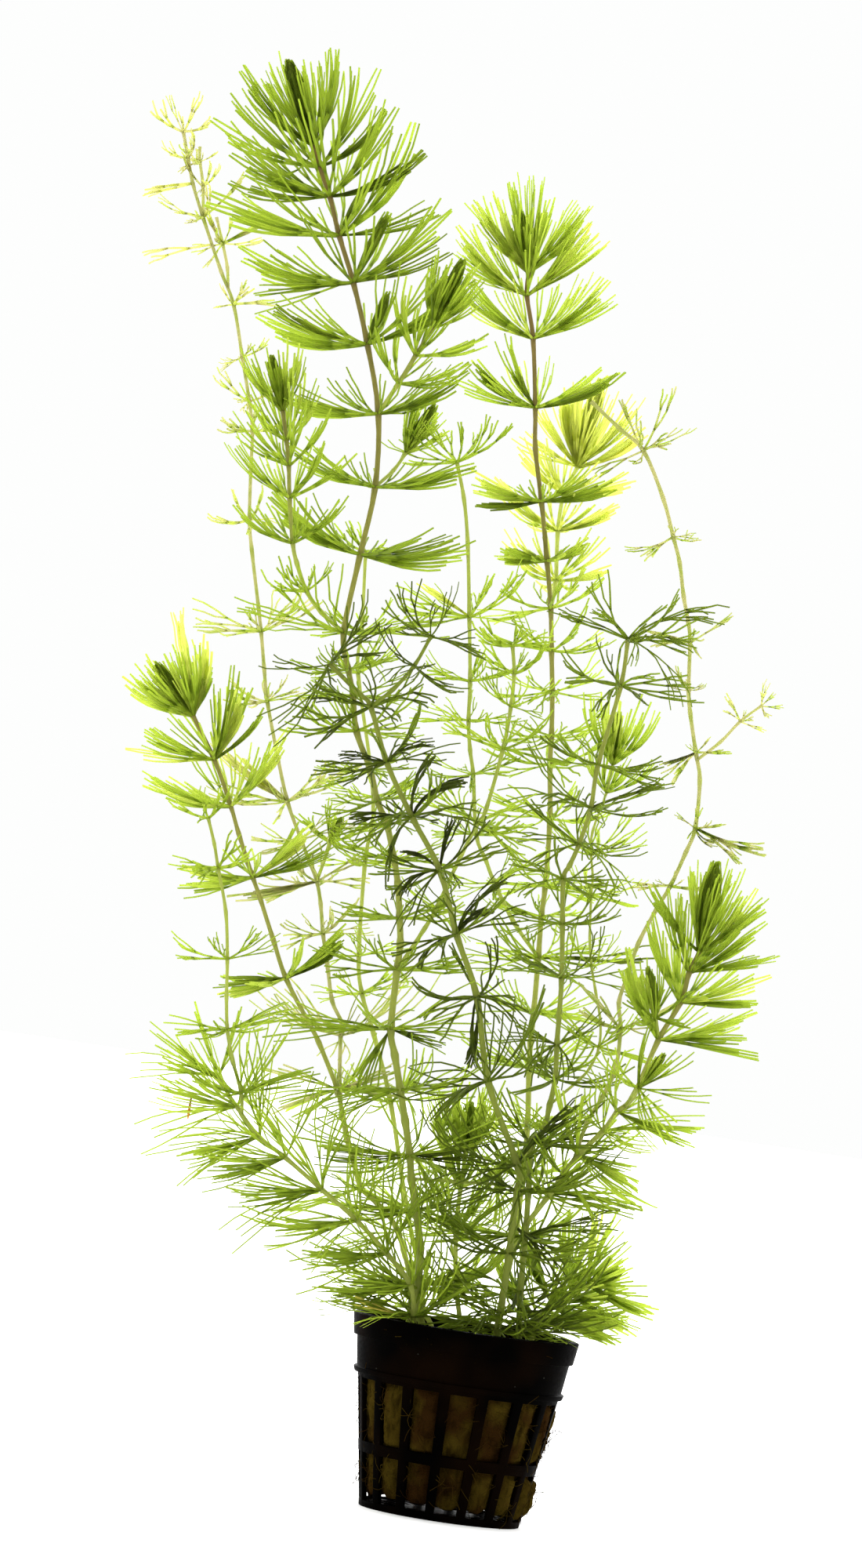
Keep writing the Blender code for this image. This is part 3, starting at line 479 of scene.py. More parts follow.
def draw_leaf(name, length, kind, chance):
    """A forked leaf along +X, with its forks spread along Y."""

    def opening(share, fork):
        run = max(share - fork, 0) / (1 - fork)
        return math.sin(run * math.pi / 2) * (1 - kind.closing * run ** 3)

    def station(share, side, needle):
        across = side * kind.arm_gap * opening(share, kind.first_fork)
        across += needle * kind.needle_gap * opening(share, kind.second_fork)
        lift = side * needle * 0.015 * share
        wave = Vector((0, chance.uniform(-kind.wave, kind.wave), chance.uniform(-kind.wave, kind.wave)))
        return (Vector((share, across, lift)) + wave) * length

    # A leaf that forks early has short arms and long needles
    is_early = kind.second_fork < EARLY_FORK
    arm_stations = (1,) if is_early else (0.5, 1)
    needle_stations = (0.25, 0.5, 0.75, 1) if is_early else (0.36, 0.72, 1)
    fork = station(kind.first_fork, 0, 0)
    runs = [[Vector(), fork / 2, fork]]
    for side in (-1, 1):
        arm = [station(between(kind.first_fork, kind.second_fork, share), side, 0) for share in arm_stations]
        runs.append([fork, *arm])
        for needle in (-1, 1):
            reach = chance.uniform(0.74, 1.0)
            points = [station(between(kind.second_fork, reach, share), side, needle) for share in needle_stations]
            runs.append([arm[-1], *points])
    return round_line(name, [[(point, SQUARE_CORNER * between(kind.root_girth, kind.tip_girth,
                                                              min(point.x / length, 1.0)))
                              for point in run] for run in runs], 0)


# %% [markdown]
# Three sizes of leaf are drawn, so that a needle is as thin on a long leaf as on a short one. The open
# kind is how a leaf spreads in water, and the narrow kind how it folds out of it. Near the tips of the
# stems the leaves are slender and fork early, and where wet leaves cling together their needles lie
# side by side, like a blade.

# %% Draw the leaves
patterns = {}
for size, length in LEAF_LENGTHS.items():
    for name, kind in LEAF_KINDS.items():
        leaf = draw_leaf(f"{size}_{name}_leaf", length, kind, random.Random(len(patterns)))
        corners = np.array([corner.co for corner in leaf.data.vertices])
        faces = [tuple(face.vertices) for face in leaf.data.polygons]
        patterns[size, name] = (corners, faces, length)
        print(leaf.name, len(faces), "faces", corners.min(0).round(2), corners.max(0).round(2))
        bpy.data.objects.remove(leaf)


# %% [markdown]
# ## Growing a stem
# A piece is gathered part by part: first the stem, which is a curve with a round bevel, and then each
# leaf as a copy of a drawn leaf that is bent along an arc. Each corner also keeps two numbers for the
# finish: its reach, from 0 at the leaf's foot to 1 at its tip, and its youth, from 0 for an old dark
# leaf to 1 for a young yellow one. On a stem the reach is -1 where it is green and -2 where it is red.
# The leaves of a brush get a little more youth than their whorl, as painted light against the shade
# that their packed needles cast on each other.


# %% Gathering a piece
class Gathering:
    """Corners, faces and finish numbers of a piece before it becomes a mesh."""

    def __init__(self):
        self.corners, self.faces, self.reaches, self.youths = [], [], [], []
        self.count = 0

    def add(self, corners, faces, reach, youth):
        self.corners.append(corners)
        self.faces += [tuple(corner + self.count for corner in face) for face in faces]
        self.reaches.append(np.broadcast_to(reach, len(corners)).astype(np.float32))
        self.youths.append(np.full(len(corners), youth, np.float32))
        self.count += len(corners)

    def make(self, name, finish):
        mesh = bpy.data.meshes.new(name)
        mesh.from_pydata(np.concatenate(self.corners).tolist(), [], self.faces)
        for label, values in (("reach", self.reaches), ("youth", self.youths)):
            attribute = mesh.attributes.new(label, "FLOAT", "POINT")
            attribute.data.foreach_set("value", np.concatenate(values))
        mesh.materials.append(finish)
        piece = bpy.data.objects.new(name + "_piece", mesh)
        bpy.context.scene.collection.objects.link(piece)
        hold(piece)
        bpy.ops.object.mode_set(mode="EDIT")
        bpy.ops.mesh.select_all(action="SELECT")
        bpy.ops.mesh.normals_make_consistent(inside=False)
        bpy.ops.object.mode_set(mode="OBJECT")
        bpy.ops.object.shade_smooth()
        return piece


# %% The stem itself
NODE_SWELL = 0.28
# How red a stem is at its top
RED_TOPS = {"tall_stem": 0.8, "right_stem": 0.85, "left_plume": 0.6, "right_plume": 0.6, "left_branch": 0.6,
            "right_branch": 0.6, "dark_stem": 0.2, "front_stem": 0.1}


def add_stem(gathering, route):
    """A round stem along the route, a little thicker at its nodes."""
    run = [(point, route.radius(index) * (1 + NODE_SWELL * (index in route.node_places)))
           for index, point in enumerate(route.line)]
    line = round_line("stem_line", [run], 2)
    corners = np.array([corner.co for corner in line.data.vertices])
    faces = [tuple(face.vertices) for face in line.data.polygons]
    low, high = corners[:, 2].min(), corners[:, 2].max()
    redness = RED_TOPS.get(route.stem.name, 0.0) * ((corners[:, 2] - low) / (high - low)) ** 1.5
    gathering.add(corners, faces, -1 - redness, YOUTHS.get(route.stem.name, MIDDLE_YOUTH)[0])
    bpy.data.objects.remove(line)


# %% A leaf bent along an arc
LeafShape = namedtuple("LeafShape", "length lift curl sway roll")
SHORTEST_LONG = 21.5 * MM
SHORTEST_MIDDLE = 13.0 * MM
RIM_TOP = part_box("net_pot")[1].z
# Distances from the pot's axis, and the lowest that a leaf lies there, over the wool and the rim
LEAF_REST = ((0, 21, 25, 34, 70), (42.6, 42.6, 46.8, 46.8, 30))


def add_leaf(gathering, root, out, along, shape, kind, youth):
    """Copies a drawn leaf so that it starts at root, leaves at its lift and bends by its curl."""
    size = "long" if shape.length > SHORTEST_LONG else "middle" if shape.length > SHORTEST_MIDDLE else "short"
    corners, faces, drawn = patterns[size, kind]
    side = along.cross(out)
    reach = corners[:, 0] / drawn
    scale = shape.length / drawn
    spin_y = (corners[:, 1] * math.cos(shape.roll) - corners[:, 2] * math.sin(shape.roll)) * scale
    spin_z = (corners[:, 1] * math.sin(shape.roll) + corners[:, 2] * math.cos(shape.roll)) * scale
    curl = shape.curl if abs(shape.curl) > 1e-3 else 1e-3
    turned = shape.lift + curl * reach
    aside = (np.sin(turned) - math.sin(shape.lift)) / curl * shape.length - np.sin(turned) * spin_z
    up = (math.cos(shape.lift) - np.cos(turned)) / curl * shape.length + np.cos(turned) * spin_z
    across = spin_y + shape.sway * shape.length * reach ** 2
    points = np.array(root) + np.outer(aside, out) + np.outer(up, along) + np.outer(across, side)
    from_axis = np.hypot(points[:, 0], points[:, 1]) / MM
    points[:, 2] = np.maximum(points[:, 2], np.interp(from_axis, *LEAF_REST) * MM)
    gathering.add(points, faces, reach, youth)


# %% [markdown]
# ## Whorls and buds
# Eight or so leaves stand in a whorl. Near the tips of the stems some of them stick together like the
# hairs of a wet brush, mostly at the left and the right. The tip of a growing stem is a closed bud:
# many young leaves pressed together, with the leaves of the last whorls standing round it.

# %% Whorls
Habit = namedtuple("Habit", "lift_spread curl_spread sway roll")
PLUME = Habit(7, 12, 0.06, 40)
WATER = Habit(17, 38, 0.24, 80)
CURLY = Habit(24, 70, 0.40, 80)
FADED = Habit(32, 45, 0.25, 80)
CURLY_STEMS = ("front_stem", "front_branch", "dark_stem")
FADED_STEMS = ("far_left_stem", "far_left_twig", "far_left_lower_twig", "far_right_stem", "far_right_twig")
# From this height up, as a pixel of the photograph, a stem has its leaves in brushes
PLUME_STARTS = {"tall_stem": 720, "right_stem": 720, "left_plume": 1260, "right_plume": 1340,
                "left_branch": 700, "right_branch": 500, "yellow_branch": 740, "low_right_plume": 1690,
                "slim_right_stem": 1020, "young_shoot": 1530}
# How young the leaves look at a stem's foot and at its top
MIDDLE_YOUTH = (0.63, 0.70)
YOUTHS = {"tall_stem": (0.51, 0.56), "front_stem": (0.32, 0.2), "front_branch": (0.2, 0.25),
          "dark_stem": (0.42, 0.36), "left_plume": (0.58, 0.76), "right_stem": (0.56, 0.76),
          "right_plume": (0.66, 0.69), "yellow_branch": (0.9, 1.0), "far_left_stem": (0.5, 0.88),
          "far_left_twig": (0.85, 0.9), "far_left_lower_twig": (0.8, 0.85), "far_right_stem": (0.6, 0.65),
          "far_right_twig": (0.75, 0.8), "slim_right_stem": (0.65, 0.72), "young_shoot": (0.68, 0.74),
          "low_right_plume": (0.62, 0.72), "back_stem": (0.62, 0.66), "low_left_stem": (0.56, 0.68),
          "low_left_branch": (0.6, 0.65), "left_side_shoot": (0.6, 0.7), "centre_stem": (0.58, 0.66)}
YOUTH_SPREAD = 0.12
BRUSHY_STEMS = ("tall_stem", "right_stem", "left_plume", "right_plume", "yellow_branch", "low_right_plume")
BRUSH_SIDES = (0, 180)
BRUSH_LEAVES = 2
SINGLE_SIDES = (32, 75, 110, 148, 205, 245, 290, 328)
# Below this height, as a pixel of the photograph, leaves are fans that fork near their foot
FAN_HEIGHT = 1290
FAN_LEAVES = 7
FAN_STRETCH = 1.12
FADED_HEIGHT = 720
FADED_LEAVES = 5
LIFT_EASING = 3
LIFT_EASING_PER_NODE = 0.3
CURL_EASING = 2
PICTURE_RIGHT = Vector((1, 0, 0))


def right_angle(along, out):
    """The angle round the stem from its own outward axis to the right of the picture."""
    flat = (PICTURE_RIGHT - along * along.dot(PICTURE_RIGHT)).normalized()
    return math.atan2(along.cross(out).dot(flat), out.dot(flat))


def leaf_count(length):
    return 9 if length >= 85 else 7 if length >= 62 else 5


def add_whorl(gathering, route, order, chance):
    stem = route.stem
    _, down, length = stem.nodes[order]
    index = route.node_places[order]
    share = order / max(len(stem.nodes) - 1, 1)
    lift = between(*stem.lifts, share ** max(LIFT_EASING, LIFT_EASING_PER_NODE * len(stem.nodes)))
    curl = between(*stem.curls, share ** CURL_EASING)
    youth = between(*YOUTHS.get(stem.name, MIDDLE_YOUTH), share)
    along, first_out = route.alongs[index], route.outs[index]
    in_plume = down < PLUME_STARTS.get(stem.name, 0)
    is_faded = stem.name in FADED_STEMS and (down < FADED_HEIGHT or stem.name.startswith("far_right"))
    habit = PLUME if in_plume else CURLY if stem.name in CURLY_STEMS else FADED if is_faded else WATER

    def bend():
        """The lift, curl and sway of one leaf or of one brush of leaves."""
        return (lift + chance.uniform(-habit.lift_spread, habit.lift_spread),
                curl + chance.uniform(-habit.curl_spread, habit.curl_spread),
                chance.uniform(-habit.sway, habit.sway))

    def grow(angle, kind, leaf_bend, roll, leaf_youth):
        out = Quaternion(along, angle) @ first_out
        leaf_lift, leaf_curl, sway = leaf_bend
        stretch = chance.uniform(0.4, 1.15) if is_faded else chance.uniform(0.88, 1.08)
        stretch *= FAN_STRETCH if kind == "fan" else 1.0
        shape = LeafShape(length * PIXEL * stretch, math.radians(leaf_lift),
                          math.radians(leaf_curl), sway, math.radians(roll))
        root = route.line[index] + out * route.radius(index) * 0.6
        add_leaf(gathering, root, out, along, shape, kind, leaf_youth)

    def own_youth():
        return youth + chance.uniform(-YOUTH_SPREAD, YOUTH_SPREAD)

    if in_plume:
        start = right_angle(along, first_out)
        for side in BRUSH_SIDES if stem.name in BRUSHY_STEMS else ():
            middle = start + math.radians(side + chance.uniform(-25, 25))
            brush_lift, brush_curl, brush_sway = bend()
            # The leaves of a brush are painted lighter than their whorl. This is painted light against the shade
            # their packed needles cast on each other.
            brush_youth_with_painted_light = own_youth() + 0.08
            for number in range(chance.randint(1, BRUSH_LEAVES)):
                angle = middle + math.radians(chance.uniform(-4, 4))
                leaf_bend = (brush_lift + 3 * (number - 1), brush_curl + chance.uniform(-4, 4), brush_sway)
                grow(angle, "blade", leaf_bend, 90 + chance.uniform(-25, 25), brush_youth_with_painted_light)
        for side in SINGLE_SIDES:
            angle = start + math.radians(side + chance.uniform(-14, 14))
            grow(angle, "slender", bend(), chance.uniform(-habit.roll, habit.roll), own_youth())
        return
    is_fan = down > FAN_HEIGHT
    count = FADED_LEAVES if is_faded else min(leaf_count(length), FAN_LEAVES if is_fan else 9)
    start = chance.uniform(0, math.tau)
    for number in range(count):
        angle = start + (number + chance.uniform(-0.25, 0.25)) * math.tau / count
        kind = "fan" if is_fan else "open" if chance.random() < 0.5 else "narrow"
        grow(angle, kind, bend(), chance.uniform(-habit.roll, habit.roll), own_youth())


# %% Buds
BUD_LEAVES_PER_MM = 1.6
COLLAR_LEAVES = 8
SMALL_BUD = 14 * MM
SMALL_COLLAR_LEAVES = 5
GOLDEN_ANGLE = math.radians(137.5)
BUD_DARKER = {"tall_stem": 0.24, "left_plume": 0.22, "left_branch": 0.2, "right_branch": 0.2}
SIDE_BUD_LIGHTER = 0.15
SIDE_BUD_LEAVES = 8
# Small buds beside the main stem: the stem, where they start and where their tip is in the photograph
SIDE_BUDS = (
    ("tall_stem", (434, 302), (472, 235), 2.2),
    ("tall_stem", (451, 362), (499, 270), 2.4),
    ("tall_stem", (469, 441), (498, 373), 2.0),
    ("left_plume", (246, 912), (262, 862), 1.6),
)


def add_spindle(gathering, base, tip, out, width, count, youth, darker, chance):
    """Young leaves pressed together into a spindle from base to tip."""
    run = tip - base
    axis = run.normalized()
    for number in range(count):
        share = number / count
        root = base + run * share * 0.5
        turned = Quaternion(axis, number * GOLDEN_ANGLE) @ out
        length = (run.length - (root - base).length) * chance.uniform(0.9, 1.03)
        lean = 2 * math.atan2(width * MM * chance.uniform(0.7, 1.0), run.length)
        shape = LeafShape(length, math.pi / 2 - lean, lean * 1.9, chance.uniform(-0.03, 0.03),
                          math.radians(chance.uniform(-40, 40)))
        add_leaf(gathering, root, turned, axis, shape, "blade", youth - darker * chance.random())


def add_bud(gathering, route, chance):
    """The spindle at a stem's tip, with a collar of upright leaves round it."""
    across, down, width = route.stem.bud
    base, tip = route.line[-1], place(across, down, route.line[-1].y)
    youth = YOUTHS.get(route.stem.name, MIDDLE_YOUTH)[1]
    axis = (tip - base).normalized()
    out = route.alongs[-1].rotation_difference(axis) @ route.outs[-1]
    count = round(BUD_LEAVES_PER_MM * (tip - base).length / MM)
    darker = BUD_DARKER.get(route.stem.name, 0.12)
    add_spindle(gathering, base, tip, out, width, count, youth, darker, chance)
    for number in range(SMALL_COLLAR_LEAVES if (tip - base).length < SMALL_BUD else COLLAR_LEAVES):
        turned = Quaternion(axis, number * GOLDEN_ANGLE) @ out
        lean = math.radians(chance.uniform(14, 42))
        shape = LeafShape((tip - base).length * chance.uniform(0.85, 1.1), math.pi / 2 - lean, lean * 0.6,
                          chance.uniform(-0.03, 0.03), math.radians(chance.uniform(-60, 60)))
        add_leaf(gathering, base, turned, axis, shape, "slender", youth + 0.1 * chance.random())


def add_side_buds(gathering, route, chance):
    for name, foot, tip, width in SIDE_BUDS:
        if name == route.stem.name:
            base, _ = route.nearest(place(*foot, 0.0))
            end = place(*tip, base.y - 3 * MM)
            out = (end - base).orthogonal().normalized()
            youth = YOUTHS[name][1] + SIDE_BUD_LIGHTER
            add_spindle(gathering, base, end, out, width, SIDE_BUD_LEAVES, youth, BUD_DARKER[name], chance)


# %% [markdown]
# ## Leaves that stand out
# A few leaves give the plant its own face: dark ones that arch over, bundles that stick out at the
# side, and a curled scrap. They are traced one by one, by their foot and their tip. A bend above
# zero turns the leaf to the left on its way, as seen in the picture.

# %% Leaves traced one by one
# Foot, tip, bend in degrees, kind, how many lie together, and how young they look
WITHERED_YOUTH = 1.5
TRACED_LEAVES = {
    "tall_stem": (
        ((401, 187), (300, 190), -150, "narrow", 1, 0.6),
        ((408, 214), (495, 140), 45, "blade", 3, 0.4),
        ((421, 252), (292, 232), -35, "blade", 2, 0.4),
        ((421, 252), (547, 190), 40, "blade", 3, 0.35),
        ((433, 302), (566, 258), 35, "slender", 2, 0.45),
        ((451, 362), (310, 380), -8, "slender", 2, 0.5),
        ((451, 362), (582, 300), 30, "slender", 2, 0.4),
        ((469, 441), (350, 393), -35, "blade", 3, 0.4),
        ((460, 709), (590, 690), 25, "slender", 2, 0.4),
        ((499, 1312), (343, 1317), 15, "fan", 2, 0.45),
        ((499, 1312), (450, 1412), 20, "fan", 2, 0.4),
        ((499, 1312), (579, 1324), 10, "fan", 2, 0.3),
        ((523, 1472), (398, 1461), -20, "fan", 3, 0.3),
        ((523, 1472), (617, 1472), 25, "fan", 3, 0.2),
        ((531, 1543), (430, 1520), -25, "fan", 2, 0.4),
        ((534, 1642), (440, 1600), -35, "fan", 2, 0.3),
    ),
    "front_stem": (
        ((474, 904), (392, 893), 30, "narrow", 2, 0.1),
        ((494, 974), (565, 952), -60, "narrow", 2, 0.15),
        ((494, 974), (418, 972), 35, "narrow", 2, 0.08),
        ((526, 1043), (606, 998), -80, "narrow", 4, 0.08),
        ((526, 1043), (568, 952), -55, "narrow", 2, 0.15),
        ((526, 1043), (433, 1048), 25, "narrow", 3, 0.1),
        ((561, 1110), (585, 1034), -20, "narrow", 3, 0.08),
        ((561, 1110), (509, 1083), 60, "narrow", 1, 0.1),
        ((561, 1110), (507, 1156), 85, "narrow", 3, 0.1),
        ((582, 1191), (662, 1117), -55, "narrow", 3, 0.15),
        ((582, 1191), (634, 1157), -60, "narrow", 3, 0.08),
        ((582, 1191), (533, 1245), 80, "narrow", 2, 0.08),
        ((608, 1270), (622, 1376), 60, "narrow", 2, 0.12),
        ((608, 1270), (588, 1374), -40, "narrow", 2, 0.12),
        ((622, 1377), (560, 1440), 35, "fan", 2, 0.2),
        ((659, 1482), (756, 1398), -35, "narrow", 3, 0.15),
        ((659, 1482), (745, 1420), -45, "narrow", 1, 0.15),
        ((653, 1559), (705, 1640), -35, "fan", 2, 0.15),
        ((634, 1690), (735, 1662), 40, "fan", 2, 0.1),
    ),
    "right_stem": (
        ((684, 516), (600, 455), -40, "blade", 3, 0.5),
        ((684, 516), (798, 465), 35, "blade", 3, 0.55),
        ((684, 516), (641, 425), -25, "slender", 2, 0.6),
        ((684, 516), (663, 463), -15, "slender", 2, 0.6),
        ((675, 344), (602, 254), -8, "slender", 3, 0.75),
        ((675, 344), (634, 236), -6, "slender", 2, 0.8),
        ((675, 344), (658, 217), -3, "slender", 3, 0.7),
        ((675, 344), (679, 214), 2, "slender", 3, 0.7),
        ((675, 344), (697, 243), 8, "slender", 2, 0.75),
        ((675, 344), (748, 246), 12, "slender", 3, 0.75),
        ((673, 373), (757, 290), 15, "slender", 2, 0.8),
        ((673, 373), (578, 311), -20, "slender", 3, 0.75),
        ((673, 373), (772, 300), 22, "slender", 3, 0.8),
        ((681, 428), (596, 350), -30, "slender", 3, 0.65),
        ((681, 428), (789, 366), 30, "slender", 3, 0.75),
        ((692, 636), (790, 612), 20, "blade", 2, 0.5),
        ((692, 636), (600, 640), -20, "blade", 3, 0.3),
        ((688, 1222), (850, 1218), 12, "narrow", 2, 0.3),
        ((697, 1130), (790, 1125), 15, "narrow", 1, 0.4),
    ),
    "dark_stem": (
        ((800, 817), (938, 793), -60, "narrow", 2, 0.25),
        ((800, 817), (888, 838), -35, "narrow", 2, 0.3),
        ((800, 817), (856, 765), -20, "narrow", 1, 0.4),
        ((800, 817), (748, 780), 40, "narrow", 2, 0.35),
        ((753, 1031), (866, 1003), -10, "narrow", 3, 0.3),
        ((716, 1247), (640, 1210), 30, "narrow", 2, 0.3),
        ((678, 1457), (800, 1462), -10, "fan", 2, 0.3),
        ((674, 1520), (822, 1540), -15, "slender", 3, 0.45),
        ((670, 1575), (797, 1552), -20, "narrow", 2, 0.25),
        ((670, 1575), (797, 1582), -25, "narrow", 1, 0.25),
        ((662, 1692), (800, 1668), 25, "fan", 2, 0.2),
    ),
    "left_plume": (
        ((246, 912), (228, 776), 0, "open", 3, 1.0),
        ((246, 912), (177, 864), -15, "slender", 3, 0.8),
        ((246, 912), (190, 838), -10, "slender", 2, 0.8),
        ((246, 912), (214, 822), -5, "slender", 2, 0.8),
        ((246, 912), (243, 828), 5, "slender", 2, 0.75),
        ((246, 912), (266, 846), 15, "slender", 3, 0.7),
        ((273, 968), (182, 930), -25, "slender", 3, 0.75),
        ((273, 968), (268, 864), 5, "slender", 2, 0.65),
        ((273, 968), (299, 848), 12, "blade", 2, 0.55),
        ((273, 968), (318, 880), 22, "slender", 2, 0.65),
        ((273, 968), (335, 905), 35, "blade", 2, 0.6),
        ((294, 1028), (181, 987), -25, "slender", 3, 0.75),
        ((322, 1119), (229, 1135), -15, "slender", 3, 0.55),
        ((322, 1119), (425, 1068), 25, "slender", 3, 0.5),
        ((364, 1248), (270, 1256), -5, "slender", 3, 0.45),
        ((364, 1248), (440, 1200), 20, "blade", 4, 0.4),
    ),
    "far_left_stem": (
        ((244, 228), (172, 243), 12, "narrow", 2, 1.0),
        ((257, 271), (212, 268), 10, "narrow", 1, 0.9),
        ((269, 308), (170, 320), 8, "narrow", 1, 1.0),
        ((257, 271), (312, 205), 15, "narrow", 1, 0.7),
        ((365, 1021), (268, 942), -25, "blade", 3, 1.0),
        ((365, 1021), (300, 958), -10, "blade", 2, 0.95),
        ((403, 1124), (288, 1148), -8, "blade", 2, 0.5),
    ),
    "far_right_stem": (
        ((887, 1056), (985, 1086), 25, "narrow", 2, 0.55),
        ((887, 1056), (955, 1110), -20, "narrow", 2, 0.5),
        ((887, 1056), (912, 1075), 90, "narrow", 2, 0.45),
        ((822, 573), (855, 480), 20, "narrow", 1, 0.7),
        ((822, 573), (792, 488), -10, "narrow", 1, 0.6),
        ((888, 960), (842, 975), -15, "blade", 2, 0.3),
    ),
    "far_left_lower_twig": (
        ((282, 304), (340, 282), 8, "blade", 1, 0.75),
        ((282, 304), (262, 268), -10, "narrow", 2, 1.0),
    ),
    "yellow_branch": (
        ((740, 588), (688, 515), -15, "slender", 3, 1.0),
        ((740, 588), (660, 548), -20, "slender", 2, 1.0),
        ((740, 588), (715, 500), 0, "slender", 2, 1.0),
        ((740, 588), (820, 516), 20, "slender", 3, 0.9),
        ((714, 671), (625, 598), -20, "slender", 2, 0.95),
        ((714, 671), (768, 640), 20, "slender", 2, 0.85),
    ),
    "centre_stem": (
        ((599, 786), (533, 736), 10, "blade", 2, 0.95),
    ),
    "young_shoot": (
        ((588, 1515), (552, 1392), -5, "slender", 3, 0.75),
        ((588, 1515), (572, 1393), 0, "slender", 2, 0.75),
        ((588, 1515), (560, 1400), -10, "fan", 2, 0.7),
        ((588, 1515), (625, 1395), 10, "fan", 3, 0.7),
        ((582, 1575), (545, 1480), -10, "fan", 3, 0.6),
        ((582, 1575), (630, 1480), 10, "fan", 3, 0.6),
    ),
    "low_left_stem": (
        ((280, 1372), (215, 1325), -25, "fan", 3, 0.75),
        ((304, 1409), (202, 1380), -25, "fan", 3, 0.75),
        ((247, 1392), (241, 1426), 0, "blade", 3, WITHERED_YOUTH),
        ((333, 1447), (239, 1472), -10, "fan", 3, 0.6),
        ((366, 1473), (262, 1500), -15, "fan", 4, 0.5),
        ((412, 1513), (298, 1522), -10, "fan", 4, 0.5),
        ((456, 1552), (340, 1560), -15, "fan", 3, 0.5),
        ((494, 1594), (385, 1605), -20, "fan", 3, 0.5),
        ((524, 1634), (412, 1645), -15, "fan", 3, 0.3),
        ((528, 1674), (420, 1662), 15, "fan", 2, 0.3),
        ((528, 1674), (447, 1643), -8, "narrow", 1, 1.2),
    ),
    "right_plume": (
        ((890, 1214), (975, 1150), 15, "slender", 2, 0.6),
        ((890, 1214), (830, 1125), -25, "slender", 2, 0.55),
        ((877, 1239), (990, 1219), 5, "blade", 3, 0.6),
        ((866, 1277), (966, 1276), 8, "blade", 3, 0.6),
        ((838, 1324), (965, 1350), -8, "blade", 2, 0.55),
        ((838, 1324), (958, 1328), 0, "slender", 3, 0.6),
        ((786, 1416), (885, 1450), 8, "slender", 3, 0.6),
        ((768, 1440), (900, 1437), -12, "slender", 2, 0.65),
        ((737, 1471), (812, 1491), 8, "blade", 2, 0.65),
        ((737, 1471), (816, 1520), -5, "slender", 3, 0.75),
    ),
    "low_right_plume": (
        ((688, 1685), (760, 1586), 12, "slender", 3, 0.7),
        ((688, 1685), (782, 1600), 10, "blade", 3, 0.7),
        ((706, 1665), (801, 1612), 8, "slender", 3, 0.75),
        ((706, 1665), (804, 1649), 8, "blade", 3, 0.65),
        ((688, 1685), (812, 1668), 10, "slender", 3, 0.65),
        ((688, 1685), (799, 1694), 12, "slender", 3, 0.65),
    ),
}


# How far apart, in pixels, the tips of leaves that are traced together lie
TIP_SPREADS = {"fan": 16, "slender": 10, "narrow": 8, "blade": 6, "open": 8}


def add_traced_leaves(gathering, route, chance):
    for foot, tip, bend, kind, count, youth in TRACED_LEAVES.get(route.stem.name, ()):
        root, _ = route.nearest(place(*foot, 0.0))
        if youth == WITHERED_YOUTH:
            root = place(*foot, root.y)
        for number in range(count):
            spread = TIP_SPREADS[kind] * (youth < WITHERED_YOUTH)
            aside, down = chance.uniform(-spread, spread), chance.uniform(-spread, spread)
            end = place(tip[0] + aside, tip[1] + down, root.y + chance.uniform(-4, 4) * MM)
            run = end - root
            out = run.normalized()
            turned = Vector((-out.z, 0, out.x)).normalized()
            arc = math.radians(bend + chance.uniform(-8, 8)) or math.radians(1)
            length = run.length * (arc / 2) / math.sin(arc / 2)
            shape = LeafShape(length, -arc / 2, arc, 0.0, math.radians(chance.uniform(-60, 60)))
            add_leaf(gathering, root, out, turned, shape, kind, youth + chance.uniform(-0.06, 0.06))


# %% [markdown]
# ## Finish of the leaves
# A needle is thin enough to let light through, so its shader mixes a satin surface with a translucent
# one. Light crosses two walls of a needle, so each wall tints it by the root of the leaf's colour. The
# youth of a leaf picks that colour, and the tips are a little lighter than the feet. A fine noise in
# the object's own coordinates mottles the colour, the gloss and the surface.


